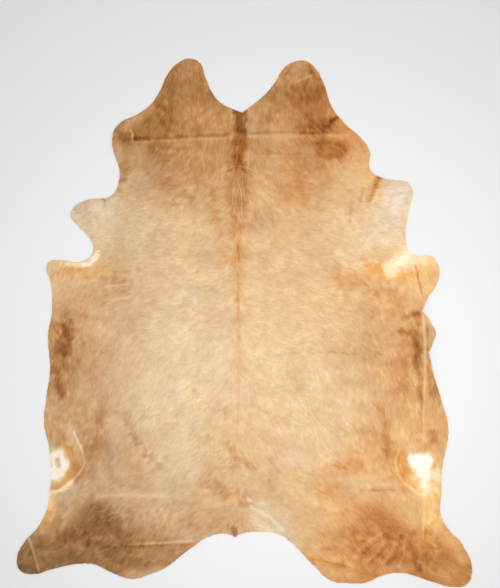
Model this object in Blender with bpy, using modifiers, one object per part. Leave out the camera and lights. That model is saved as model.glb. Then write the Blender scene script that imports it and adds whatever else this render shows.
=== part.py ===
"""Hair-on cowhide laid out flat: one cut piece of leather with its short hair left on.

Metres, +Z up. +Y runs to the neck and -Y to the tail. The origin is the middle of the hide's box, on the
surface that it lies on. The hide is a sheet of even thickness, leather and lying hair together. Its underside
is flat on that surface, apart from the soft folds and creases that lift it.
"""

import math
from collections import defaultdict, namedtuple

import bmesh
import bpy
from mathutils import Vector
from mathutils.geometry import delaunay_2d_cdt, interpolate_bezier

MM = 0.001

# Driving dimensions of the finished hide.
HIDE_LENGTH = 2580 * MM  # neck lobes to hind legs
HIDE_WIDTH = 2220 * MM  # across the hind legs
LEATHER_THICKNESS = 2.5 * MM
HAIR_THICKNESS = 3.5 * MM  # short hair lying flat
SHEET_THICKNESS = LEATHER_THICKNESS + HAIR_THICKNESS

# How finely the sheet is cut into triangles.
EDGE_STEP = 23 * MM
FOLD_STEP = 26 * MM
FIELD_STEP = 70 * MM
LEAST_GAP = 7 * MM
FOLD_ROWS = (-0.5, -0.33, -0.17, 0.0, 0.17, 0.33, 0.5)  # shares of a fold's width
FIELD_CLEARANCE = 0.62  # of a field step, from the field's points to any other
FOLD_END_RUN = 60 * MM  # over which a fold rises from nothing at either end
FOLD_BLEND = 4  # how sharply folds that meet pass into each other

COAT_COLOUR = (0.62, 0.38, 0.18, 1.0)
COAT_ROUGHNESS = 0.8

# The cut edge, counter-clockwise from the notch between the neck lobes. Millimetres from the hide's middle:
# across to the right, along to the neck. A nick is a sharp corner, and every other point is passed smoothly.
EdgePoint = namedtuple("EdgePoint", "across along nick", defaults=(False,))
NICK = True

EDGE = {
    "left neck lobe": (
        (-10, 1025, NICK),
        (-75, 1050),
        (-120, 1075),
        (-160, 1125),
        (-195, 1205),
        (-215, 1265),
        (-265, 1290),
        (-330, 1265),
        (-375, 1215),
        (-405, 1150),
        (-450, 1075),
        (-510, 1025),
    ),
    "left shoulder": (
        (-625, 960),
        (-645, 900),
        (-635, 820),
        (-615, 770),
        (-610, 705),
        (-650, 620),
    ),
    "left foreleg": (
        (-765, 600),
        (-825, 570),
        (-850, 525),
        (-820, 480),
        (-770, 430),
        (-740, 380),
        (-750, 325),
    ),
    "left belly": (
        (-815, 295),
        (-900, 305),
        (-960, 295),
        (-970, 260),
        (-950, 210),
        (-940, 65),
        (-960, -60),
        (-950, -230),
        (-970, -375),
        (-980, -490),
        (-955, -610),
        (-955, -865),
    ),
    "left hind leg": (
        (-1010, -1000),
        (-1070, -1065),
        (-1110, -1145),
        (-1095, -1210),
        (-1030, -1225),
        (-950, -1205),
        (-805, -1175),
        (-730, -1180),
        (-655, -1215),
        (-545, -1250),
        (-470, -1230),
        (-395, -1200),
        (-275, -1110),
    ),
    "rump": (
        (-180, -1045),
        (-80, -1030),
        (-45, -1045, NICK),
        (-20, -1030),
        (60, -1020),
        (160, -1030),
        (235, -1080),
    ),
    "right hind leg": (
        (325, -1170),
        (425, -1260),
        (505, -1270),
        (580, -1270),
        (680, -1230),
        (765, -1220),
        (905, -1260),
        (1025, -1290),
        (1085, -1275),
        (1110, -1215),
        (1060, -1080),
        (990, -1005),
        (955, -925),
    ),
    "right belly": (
        (960, -845),
        (965, -710),
        (995, -515),
        (960, -375),
        (905, -190),
        (895, -145, NICK),
        (920, -90),
        (935, -50),
        (915, -10),
        (865, 55, NICK),
        (890, 120),
        (925, 165),
        (950, 235),
        (940, 295),
        (910, 325),
    ),
    "right foreleg": (
        (840, 325),
        (805, 345),
        (785, 405),
        (805, 570),
        (820, 640),
        (795, 685),
        (740, 695),
        (670, 705),
    ),
    "right shoulder": (
        (610, 750),
        (610, 835),
        (565, 905),
        (495, 965),
    ),
    "right neck lobe": (
        (425, 1055),
        (385, 1170),
        (350, 1235),
        (305, 1275),
        (245, 1275),
        (190, 1240),
        (150, 1175),
        (80, 1095),
        (20, 1050),
    ),
}

# Soft folds: how high each lifts the sheet, how wide it is at its foot, and the points its crest passes, all in
# millimetres. A route that ends outside the edge carries its fold over the edge at full height.
Fold = namedtuple("Fold", "name height width route")

FOLDS = (
    Fold("neck", 6, 80, ((-720, 880), (-545, 885), (-290, 905), (-20, 915), (220, 925), (330, 920), (455, 940))),
    Fold("right neck lobe", 6, 60, ((215, 1160), (290, 1190), (360, 1220), (420, 1260))),
    Fold("right neck tuck", 8, 55, ((300, 930), (400, 965), (520, 1015))),
    Fold("right foreleg", 8, 55, ((700, 780), (670, 705), (635, 650), (590, 570))),
    Fold("right foreleg inner", 5, 45, ((585, 680), (565, 620), (545, 540))),
    Fold("right elbow", 10, 55, ((825, 300), (850, 200), (865, 125), (885, 30))),
    Fold("right belly", 14, 70, ((870, 120), (875, -35), (882, -135), (880, -230), (875, -400))),
    Fold("right flank", 6, 55, ((880, -330), (875, -525), (865, -660))),
    Fold("right flank pocket", 10, 60, ((765, -600), (735, -680), (745, -735), (780, -780), (890, -860))),
    Fold("right hock", 8, 50, ((875, -830), (870, -965), (870, -1080))),
    Fold("right hock crease", 7, 50, ((920, -1065), (1010, -1000), (1060, -960))),
    Fold("right hind hem", 9, 65, ((260, -1135), (330, -1155), (450, -1175), (550, -1205), (640, -1230))),
    Fold("right thigh front", 5, 50, ((540, -1175), (600, -1110), (665, -1045))),
    Fold("right thigh rear", 5, 45, ((730, -1220), (760, -1150), (795, -1090))),
    Fold("right thigh", 4, 50, ((550, -820), (700, -815), (825, -820))),
    Fold("right ribs", 5, 55, ((450, 170), (590, 165), (725, 180))),
    Fold("left ribs upper", 4, 45, ((-700, 178), (-620, 185), (-545, 192))),
    Fold("left ribs lower", 4, 45, ((-705, 102), (-620, 115), (-545, 128))),
    Fold("left belly", 6, 50, ((-872, -240), (-868, -320), (-865, -430))),
    Fold("left flank pocket", 10, 60, ((-840, -520), (-800, -605), (-780, -680), (-805, -735), (-1015, -850))),
    Fold("left thigh", 4, 50, ((-700, -846), (-580, -840), (-445, -833))),
    Fold("left hind foot", 7, 50, ((-1075, -980), (-1050, -1055), (-1000, -1210), (-985, -1280))),
    Fold("left hind hem", 9, 65, ((-700, -1087), (-530, -1080), (-255, -1065), (-160, -1058))),
)


def clear_scene():
    """Removes every object that the scene starts with."""
    for thing in list(bpy.data.objects):
        bpy.data.objects.remove(thing, do_unlink=True)


def smooth_route(points, nicks, closed, step):
    """Points about a step apart along a smooth curve through the given ones, in metres.

    A point whose nick is true is a sharp corner. The last point of an open route is included.
    """
    guide = bpy.data.curves.new("route guide", "CURVE")
    spline = guide.splines.new("BEZIER")
    spline.bezier_points.add(len(points) - 1)
    spline.use_cyclic_u = closed
    for knot, point, nick in zip(spline.bezier_points, points, nicks):
        knot.co = (*point, 0.0)
        knot.handle_left_type = knot.handle_right_type = "VECTOR" if nick else "AUTO"
    knots = list(spline.bezier_points)
    ends = knots[1:] + knots[:1] if closed else knots[1:]
    route = []
    for knot, end in zip(knots, ends):
        pieces = max(1, round((end.co - knot.co).length / step))
        stretch = interpolate_bezier(knot.co, knot.handle_right, end.handle_left, end.co, pieces + 1)
        route += [point.to_2d() for point in stretch[:-1]]
    if not closed:
        route.append(knots[-1].co.to_2d())
    bpy.data.curves.remove(guide)
    return route


def edge_route():
    """The cut edge as points an edge step apart, counter-clockwise, scaled to the hide's width and length."""
    rows = [EdgePoint(*row) for section in EDGE.values() for row in section]
    points = [(row.across * MM, row.along * MM) for row in rows]
    route = smooth_route(points, [row.nick for row in rows], True, EDGE_STEP)
    width, length = (max(axis) - min(axis) for axis in zip(*route))
    return [Vector((x * HIDE_WIDTH / width, y * HIDE_LENGTH / length)) for x, y in route]


def fold_route(fold):
    """A fold's crest as points a fold step apart."""
    points = [(across * MM, along * MM) for across, along in fold.route]
    return smooth_route(points, [False] * len(points), False, FOLD_STEP)


def is_inside(point, edge):
    """True if the point lies within the closed edge."""
    inside = False
    for start, end in zip(edge, edge[1:] + edge[:1]):
        if (start.y > point.y) != (end.y > point.y):
            share = (point.y - start.y) / (end.y - start.y)
            if point.x < start.x + share * (end.x - start.x):
                inside = not inside
    return inside


def fold_rows(fold, route):
    """The points that give a fold its round back: rows beside its crest, in shares of its width."""
    for before, here, after in zip(route[:1] + route, route, route[1:] + route[-1:]):
        run = (after - before).normalized()
        beside = Vector((-run.y, run.x)) * fold.width * MM
        for share in FOLD_ROWS:
            yield here + beside * share


def field_points():
    """Evenly spread points in rows, every other row shifted by half a step."""
    row_step = FIELD_STEP * math.sqrt(3) / 2
    rows = math.ceil(HIDE_LENGTH / 2 / row_step)
    columns = math.ceil(HIDE_WIDTH / 2 / FIELD_STEP)
    for row in range(-rows, rows + 1):
        for column in range(-columns, columns + 1):
            yield Vector(((column + row % 2 / 2) * FIELD_STEP, row * row_step))


def add_apart(chosen, points, gap, edge):
    """Adds to the chosen points those inside the edge that lie at least a gap from every chosen one."""
    cells = defaultdict(list)

    def cell_of(point):
        """The square of the plane, a gap wide, that holds the point."""
        return math.floor(point.x / gap), math.floor(point.y / gap)

    for point in chosen:
        cells[cell_of(point)].append(point)
    for point in points:
        column, row = cell_of(point)
        near = [other for i in (-1, 0, 1) for j in (-1, 0, 1) for other in cells[column + i, row + j]]
        if all((other - point).length >= gap for other in near) and is_inside(point, edge):
            chosen.append(point)
            cells[column, row].append(point)


def sheet_points(edge, routes):
    """The edge's points, then those of the folds and of the flat field between them."""
    chosen = list(edge)
    for fold, route in zip(FOLDS, routes):
        add_apart(chosen, fold_rows(fold, route), LEAST_GAP, edge)
    add_apart(chosen, field_points(), FIELD_STEP * FIELD_CLEARANCE, edge)
    return chosen


def lift_of_fold(point, fold, route):
    """How far one fold lifts the sheet at a point."""
    reach = fold.width * MM / 2
    run = 0.0
    total = sum((end - start).length for start, end in zip(route, route[1:]))
    nearest, place = math.inf, 0.0
    for start, end in zip(route, route[1:]):
        along = end - start
        share = max(0.0, min(1.0, (point - start).dot(along) / along.length_squared))
        distance = (start + along * share - point).length
        if distance < nearest:
            nearest, place = distance, run + share * along.length
        run += along.length
    if nearest >= reach:
        return 0.0
    ends = min(1.0, place / FOLD_END_RUN, (total - place) / FOLD_END_RUN)
    back = math.cos(math.pi / 2 * nearest / reach) ** 2
    return fold.height * MM * back * math.sin(math.pi / 2 * ends) ** 2


def lift_at(point, routes):
    """How far the sheet is lifted at a point, where folds that meet pass softly into each other."""
    lifts = [lift_of_fold(point, fold, route) for fold, route in zip(FOLDS, routes)]
    return sum(lift**FOLD_BLEND for lift in lifts) ** (1 / FOLD_BLEND)


def hair_on_leather():
    """The hide's material: short tan hair."""
    material = bpy.data.materials.new("hair on leather")
    material.use_nodes = True
    shader = material.node_tree.nodes["Principled BSDF"]
    shader.inputs["Base Color"].default_value = COAT_COLOUR
    shader.inputs["Roughness"].default_value = COAT_ROUGHNESS
    shader.inputs["Metallic"].default_value = 0.0
    return material


def make_underside():
    """The sheet's underside as one open surface, facing up: cut to the edge and lifted by the folds."""
    edge = edge_route()
    routes = [fold_route(fold) for fold in FOLDS]
    points = sheet_points(edge, routes)
    flat, _, faces, *_ = delaunay_2d_cdt(points, [], [list(range(len(edge)))], 1, 1e-6)
    mesh = bpy.data.meshes.new("hide")
    mesh.from_pydata([(*point, lift_at(point, routes)) for point in flat], [], faces)
    surface = bmesh.new()
    surface.from_mesh(mesh)
    bmesh.ops.delete(surface, geom=[v for v in surface.verts if not v.link_faces], context="VERTS")
    bmesh.ops.recalc_face_normals(surface, faces=surface.faces)
    if sum(face.normal.z for face in surface.faces) < 0:
        bmesh.ops.reverse_faces(surface, faces=surface.faces)
    surface.to_mesh(mesh)
    surface.free()
    return mesh


def stand_on_origin(thing):
    """Shifts an object's mesh so that the middle of its box is over the origin."""
    shape = thing.evaluated_get(bpy.context.evaluated_depsgraph_get()).data
    middle = [(max(axis) + min(axis)) / 2 for axis in zip(*(vertex.co.xy for vertex in shape.vertices))]
    for vertex in thing.data.vertices:
        vertex.co.xy -= Vector(middle)


def make_hide(collection):
    """The hide: the underside given the thickness of leather and hair."""
    hide = bpy.data.objects.new("hide", make_underside())
    collection.objects.link(hide)
    hide.data.materials.append(hair_on_leather())
    body = hide.modifiers.new("leather and hair", "SOLIDIFY")
    body.thickness = SHEET_THICKNESS
    body.offset = 1.0
    stand_on_origin(hide)
    hide.data.shade_smooth()
    hide.data.set_sharp_from_angle(angle=math.radians(40))
    return hide


def main():
    clear_scene()
    collection = bpy.data.collections.new("hair-on cowhide")
    bpy.context.scene.collection.children.link(collection)
    make_hide(collection)


main()
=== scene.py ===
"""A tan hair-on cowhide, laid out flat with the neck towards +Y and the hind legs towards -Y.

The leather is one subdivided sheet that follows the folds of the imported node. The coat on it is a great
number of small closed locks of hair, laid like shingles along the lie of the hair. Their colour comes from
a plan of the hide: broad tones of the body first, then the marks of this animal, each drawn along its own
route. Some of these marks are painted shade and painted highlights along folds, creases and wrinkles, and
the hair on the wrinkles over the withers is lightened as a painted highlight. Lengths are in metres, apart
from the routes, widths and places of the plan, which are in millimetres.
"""

from __future__ import annotations

import logging
import math
from collections.abc import Sequence
from dataclasses import dataclass, field, replace
from enum import Enum

import bmesh
import bpy
import numpy as np
from mathutils import Matrix, Vector
from mathutils.bvhtree import BVHTree


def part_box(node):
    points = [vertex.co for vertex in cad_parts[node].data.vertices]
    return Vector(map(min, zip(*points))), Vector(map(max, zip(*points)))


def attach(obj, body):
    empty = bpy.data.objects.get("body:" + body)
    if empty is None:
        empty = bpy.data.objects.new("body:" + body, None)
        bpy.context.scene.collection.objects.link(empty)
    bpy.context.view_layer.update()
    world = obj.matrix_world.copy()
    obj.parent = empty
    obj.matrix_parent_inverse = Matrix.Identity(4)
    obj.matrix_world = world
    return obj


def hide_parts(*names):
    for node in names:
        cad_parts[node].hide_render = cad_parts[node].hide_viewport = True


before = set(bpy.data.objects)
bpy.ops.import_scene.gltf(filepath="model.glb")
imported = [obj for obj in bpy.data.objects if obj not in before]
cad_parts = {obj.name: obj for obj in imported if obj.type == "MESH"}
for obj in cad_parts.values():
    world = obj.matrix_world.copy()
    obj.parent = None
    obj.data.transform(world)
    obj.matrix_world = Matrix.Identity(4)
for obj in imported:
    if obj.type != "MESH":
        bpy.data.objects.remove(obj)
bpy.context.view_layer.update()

HIDE = "hide"
BODY = "root"
MM = 0.001
MICRO = 1e-9
HALF = 0.5
log = logging.getLogger("cowhide")

Colour = tuple[int, int, int]
Paint = tuple[float, float, float, float]
Spot = tuple[float, float]


# --- the plan of the hide ---------------------------------------------------------------------------------


@dataclass(frozen=True)
class Chart:
    """A plan of the hide in small square cells, which holds one map of the coat at a time.

    Attributes:
        low_x: Left edge of the plan.
        low_y: Hind edge of the plan.
        columns: Number of cells from left to right.
        rows: Number of cells from hind to front.
        pitch: Side of a cell.
        rim: Strip along the front and the right edge in which no place is read, in cells.
    """

    low_x: float
    low_y: float
    columns: int
    rows: int
    pitch: float = 0.003
    rim: float = 1.001

    @classmethod
    def around(cls, low: Vector, high: Vector, margin: float = 0.1) -> Chart:
        """Lays the plan over a box.

        Args:
            low: Lowest corner of the box.
            high: Highest corner of the box.
            margin: Spare plan round the box.

        Returns:
            The plan.
        """
        columns = math.ceil((high.x - low.x + 2 * margin) / cls.pitch)
        rows = math.ceil((high.y - low.y + 2 * margin) / cls.pitch)
        return cls(low.x - margin, low.y - margin, columns, rows)

    def places(self) -> tuple[np.ndarray, np.ndarray]:
        """Places the cells.

        Returns:
            The x and the y of every cell.
        """
        x = self.low_x + self.pitch * np.arange(self.columns)
        y = self.low_y + self.pitch * np.arange(self.rows)
        return np.meshgrid(x, y)

    def sample(self, values: np.ndarray, x: np.ndarray, y: np.ndarray) -> np.ndarray:
        """Reads a map between its cells.

        Args:
            values: The map.
            x: Places across the hide.
            y: Places along the hide.

        Returns:
            The map's value at each place.
        """
        column = np.clip((x - self.low_x) / self.pitch, 0, self.columns - self.rim)
        row = np.clip((y - self.low_y) / self.pitch, 0, self.rows - self.rim)
        left = column.astype(int)
        near = row.astype(int)
        right_share = column - left
        far_share = row - near
        near_value = values[near, left] * (1 - right_share) + values[near, left + 1] * right_share
        far_value = values[near + 1, left] * (1 - right_share) + values[near + 1, left + 1] * right_share
        return near_value * (1 - far_share) + far_value * far_share

    def nearness(self, spots: Sequence[Spot], reach: float) -> np.ndarray:
        """Weighs every cell by its distance from the nearest of some spots.

        Args:
            spots: The spots, in millimetres.
            reach: Distance over which the weight fades, in millimetres.

        Returns:
            The weights.
        """
        x, y = self.places()
        gaps = [(x - across * MM) ** 2 + (y - along * MM) ** 2 for across, along in spots]
        return np.exp(-np.minimum.reduce(gaps) / (2 * (reach * MM) ** 2)) + MICRO

    def blur(self, values: np.ndarray, radius: float) -> np.ndarray:
        """Softens a map.

        Args:
            values: The map.
            radius: Standard deviation of the softening.

        Returns:
            The softened map.
        """
        wave_y = np.fft.fftfreq(self.rows, self.pitch)[:, None]
        wave_x = np.fft.rfftfreq(self.columns, self.pitch)[None, :]
        keep = np.exp(-2 * (math.pi * radius) ** 2 * (wave_x**2 + wave_y**2))
        return np.fft.irfft2(np.fft.rfft2(values) * keep, s=values.shape)

    def grain(self, seed: int, size: float) -> np.ndarray:
        """Makes an even, random mottling.

        Args:
            seed: Seed of the mottling.
            size: Size of its patches.

        Returns:
            A map with mean 0 and standard deviation 1.
        """
        noise = np.random.default_rng(seed).standard_normal((self.rows, self.columns))
        soft = self.blur(noise, size)
        return (soft - soft.mean()) / soft.std()

    def comb_out(self, values: np.ndarray, lie: Lie, length: float, steps: int = 15) -> np.ndarray:
        """Draws a map out along the lie of the hair, as hair drags a stain.

        Args:
            values: The map.
            lie: Direction of the hair.
            length: Length over which the map is drawn out.
            steps: Samples taken over that length.

        Returns:
            The combed map with mean 0 and standard deviation 1.
        """
        x, y = self.places()
        total = np.zeros_like(values)
        for reach in np.linspace(-length / 2, length / 2, steps):
            total += self.sample(values, x + reach * lie.across, y + reach * lie.along)
        return (total - total.mean()) / total.std()


@dataclass(frozen=True)
class Lie:
    """The lie of the hair over the plan, as the two parts of a unit direction."""

    across: np.ndarray
    along: np.ndarray


@dataclass(frozen=True)
class Plan:
    """What is known of the coat in every cell of the chart.

    Attributes:
        chart: The cells.
        lie: Direction of the hair.
        tone: Lightness of the hair.
        warmth: Warmth of the hair.
    """

    chart: Chart
    lie: Lie
    tone: np.ndarray
    warmth: np.ndarray

    def lighter(self, gain: float) -> Plan:
        """Returns the same plan with lighter hair."""
        return replace(self, tone=self.tone + gain)


@dataclass(frozen=True)
class Comb:
    """One place where the lie of the hair is known, on both sides of the spine.

    Attributes:
        out: Distance from the spine, in millimetres.
        y: Place along the hide, in millimetres.
        slant: Degrees by which the hair points below straight outwards.
    """

    out: float
    y: float
    slant: float


COMBS = tuple(
    Comb(*place)
    for place in (
        # neck
        (60, 1050, 88), (270, 1210, 90), (270, 1040, 84), (460, 940, 66),
        # withers and shoulders
        (120, 830, 74), (390, 800, 42), (120, 650, 52), (390, 630, 14), (620, 640, 6), (170, 450, 40),
        (440, 440, 10), (700, 450, 8),
        # back
        (180, 160, 10), (440, 160, 6), (650, 160, 38), (850, 180, 60), (340, -35, 22), (590, -35, 50),
        (850, -35, 80), (240, -230, 40), (440, -230, 52), (640, -230, 65), (880, -230, 88),
        (240, -425, 42), (440, -425, 62), (680, -425, 74), (900, -425, 88),
        # rump and thighs
        (240, -620, 47), (440, -620, 58), (680, -620, 70), (900, -620, 84), (190, -815, 22),
        (390, -815, 30), (680, -815, 54), (930, -815, 70), (150, -1000, 42), (440, -1000, 44),
        (700, -1010, 50), (930, -1050, 48), (560, -1180, 50), (1050, -1180, 40),
    )
)


@dataclass(frozen=True)
class Grooming:
    """The lie of the hair, parted at the spine.

    Attributes:
        combs: Places where the lie is known.
        reach: Distance over which such a place rules the lie, in millimetres.
        spine: Place of the spine across the hide, in millimetres.
        swirl: Strength of the small wandering of the hair.
        swirl_size: Size of that wandering.
        seed: Seed of that wandering.
    """

    combs: tuple[Comb, ...] = COMBS
    reach: float = 95.0
    spine: float = -28.0
    swirl: float = 0.16
    swirl_size: float = 0.030
    seed: int = 5

    def lie(self, chart: Chart) -> Lie:
        """Works out the lie of the hair everywhere.

        Args:
            chart: The cells.

        Returns:
            The lie of the hair.
        """
        across = np.zeros((chart.rows, chart.columns))
        along = np.zeros_like(across)
        for comb in self.combs:
            slant = math.radians(comb.slant)
            for side in (-1, 1):
                weight = chart.nearness([(self.spine + side * comb.out, comb.y)], self.reach)
                across += weight * side * math.cos(slant)
                along -= weight * math.sin(slant)
        turn = self.swirl * chart.grain(self.seed, self.swirl_size)
        turned_across = across * np.cos(turn) - along * np.sin(turn)
        turned_along = across * np.sin(turn) + along * np.cos(turn)
        length = np.hypot(turned_across, turned_along) + MICRO
        return Lie(turned_across / length, turned_along / length)


@dataclass(frozen=True)
class Zone:
    """A broad tone of the body.

    Attributes:
        name: What part of the hide it is.
        tone: Lightness from 0 to 1.
        warmth: From -3, ashen, by 0, tan, to 3, golden.
        reach: Distance over which the zone fades, in millimetres.
        spots: Middles of the zone, in millimetres.
    """

    name: str
    tone: float
    warmth: float
    reach: float
    spots: tuple[Spot, ...]


ZONES = (
    Zone("back, left", 0.785, -1.1, 250, ((-340, -135), (-315, -425))),
    Zone("back, right", 0.77, -0.3, 250, ((270, -135), (320, -475))),
    Zone("neck", 0.525, 0.5, 145, ((-265, 1065), (-20, 980), (220, 1065))),
    Zone("left lobe tip", 0.615, -0.1, 107, ((-275, 1245),)),
    Zone("right lobe tip", 0.69, 0.3, 107, ((255, 1245),)),
    Zone("beside the stripe, left", 0.63, 0.2, 74, ((-145, 950),)),
    Zone("beside the stripe, right", 0.80, 0.2, 84, ((125, 930), (100, 800))),
    Zone("right lobe root", 0.74, 0.4, 74, ((90, 1015),)),
    Zone("left neck root", 0.49, 0.1, 107, ((-560, 915), (-460, 990))),
    Zone("right neck root", 0.57, 2.9, 88, ((490, 940), (440, 1015))),
    Zone("right shoulder rim", 0.775, 2.4, 88, ((555, 810),)),
    Zone("right shoulder, front", 0.80, 0.7, 80, ((545, 650),)),
    Zone("below the neck fold", 0.62, 0.1, 127, ((-410, 770), (-20, 820))),
    Zone("below the neck fold, right", 0.60, 1.7, 127, ((320, 795),)),
    Zone("withers", 0.67, 0.5, 127, ((-170, 650), (125, 670), (370, 650))),
    Zone("left withers", 0.49, -0.7, 100, ((-345, 680),)),
    Zone("left shoulder", 0.76, -1.7, 117, ((-535, 650), (-460, 500))),
    Zone("right shoulder", 0.80, -0.1, 117, ((490, 550), (490, 430))),
    Zone("shoulder blade, left", 0.73, -0.6, 146, ((-265, 475),)),
    Zone("shoulder blade, right", 0.71, -0.1, 146, ((200, 475),)),
    Zone("fore back, left", 0.74, -0.6, 195, ((-265, 280),)),
    Zone("fore back, right", 0.74, -0.1, 195, ((220, 280),)),
    Zone("right side", 0.73, 0.0, 110, ((410, 130),)),
    Zone("right side, rear", 0.67, 0.0, 80, ((640, 60),)),
    Zone("loin", 0.745, -0.2, 120, ((-190, -530), (90, -650))),
    Zone("left ribs", 0.67, -0.4, 127, ((-655, 110), (-670, -140))),
    Zone("right ribs", 0.68, 0.1, 127, ((690, 20), (640, -140))),
    Zone("left elbow", 0.77, 0.4, 98, ((-900, 185), (-870, 80))),
    Zone("right elbow", 0.82, 2.1, 88, ((885, 210),)),
    Zone("right elbow, rear", 0.74, 1.8, 70, ((800, 100),)),
    Zone("left belly", 0.54, -0.7, 117, ((-900, -35), (-910, -300))),
    Zone("left flank", 0.57, -0.5, 127, ((-860, -520), (-680, -550), (-560, -690))),
    Zone("left flank, rim", 0.52, -0.9, 70, ((-730, -640),)),
    Zone("left flank, front", 0.78, -0.7, 84, ((-780, -385), (-905, -400))),
    Zone("left loin", 0.87, -2.3, 84, ((-345, -670),)),
    Zone("left rump, upper", 0.76, -1.7, 80, ((-350, -800),)),
    Zone("left flank, inner", 0.80, -1.4, 80, ((-560, -480),)),
    Zone("right belly", 0.63, 0.8, 107, ((785, -135), (785, -330))),
    Zone("right flank", 0.71, 1.6, 90, ((880, -510),)),
    Zone("right flank, inner", 0.65, 1.6, 100, ((690, -655),)),
    Zone("right flank, front", 0.73, 1.2, 66, ((830, -400), (700, -390))),
    Zone("left thigh", 0.68, -1.4, 120, ((-470, -940),)),
    Zone("left thigh, top", 0.76, -1.2, 90, ((-625, -800),)),
    Zone("left rump", 0.66, -0.8, 130, ((-200, -800), (-250, -965))),
    Zone("rump", 0.695, 0.2, 146, ((-20, -765), (-45, -915))),
    Zone("right rump", 0.72, -0.1, 130, ((220, -790),)),
    Zone("right rump, rear", 0.76, -0.2, 110, ((290, -985),)),
    Zone("right loin", 0.75, -0.9, 90, ((320, -670),)),
    Zone("right thigh", 0.68, 2.1, 137, ((515, -815), (480, -985))),
    Zone("right thigh, rear", 0.72, 1.2, 100, ((720, -815),)),
    Zone("left knee", 0.43, -1.9, 110, ((-730, -1035), (-900, -1085))),
    Zone("left foot", 0.425, -2.3, 117, ((-1070, -1160),)),
    Zone("left shank", 0.45, -1.6, 80, ((-655, -1110),)),
    Zone("left hem", 0.46, -1.1, 100, ((-510, -1140),)),
    Zone("left hem, inner", 0.55, -1.0, 90, ((-330, -1085),)),
    Zone("right hem", 0.63, 1.5, 107, ((370, -1180), (530, -1200))),
    Zone("right knee", 0.52, 1.9, 117, ((670, -1110),)),
    Zone("right ankle", 0.575, 2.0, 95, ((900, -1120),)),
    Zone("right foot", 0.585, 1.4, 90, ((1025, -1230),)),
    Zone("right hock", 0.80, 1.8, 88, ((905, -915),)),
)


class Lay(Enum):
    """How a mark lies on the tone under it."""

    SHADE = "adds to the tone"
    DYE = "takes the tone to its own"


@dataclass(frozen=True)
class Mark:
    """One mark of the coat, drawn along a route.

    Attributes:
        name: What the mark is.
        lay: How it lies on the tone under it.
        tone: Change of tone for a shade, and the tone itself for a dye.
        warmth: Change of warmth for a shade, and the warmth itself for a dye.
        width: Full width at half strength, in millimetres.
        route: Points along the mark, in millimetres.
        cover: Strength at its middle.
        softness: Share of the half width over which the edge fades.
        ragged: Unevenness of the edge, as a share of the width.
    """

    name: str
    lay: Lay
    tone: float
    warmth: float
    width: float
    route: tuple[Spot, ...]
    cover: float = 0.9
    softness: float = 0.8
    ragged: float = 0.2


def dye(name: str, tone: float, warmth: float, width: float, *route: Spot, **edge: float) -> Mark:
    """Names a mark that takes the tone to its own, for hair colour and for painted shade in some folds; its
    edge may give the cover, softness and ragged of Mark.
    """
    return Mark(name, Lay.DYE, tone, warmth, width, route, **edge)


def shade(
    name: str,
    tone: float,
    warmth: float,
    width: float,
    *route: Spot,
    softness: float = 0.9,
    ragged: float = 0.2,
) -> Mark:
    """Names a mark that adds to the tone under it, with the fields of Mark."""
    return Mark(name, Lay.SHADE, tone, warmth, width, route, cover=1.0, softness=softness, ragged=ragged)


def haze(name: str, tone: float, warmth: float, width: float, *route: Spot, ragged: float = 0.2) -> Mark:
    """Names a shade that fades from its middle on."""
    return shade(name, tone, warmth, width, *route, softness=1.0, ragged=ragged)


def line(name: str, tone: float, warmth: float, width: float, *route: Spot, ragged: float = 0.1) -> Mark:
    """Names a shade with a clean edge."""
    return shade(name, tone, warmth, width, *route, ragged=ragged)


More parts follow.
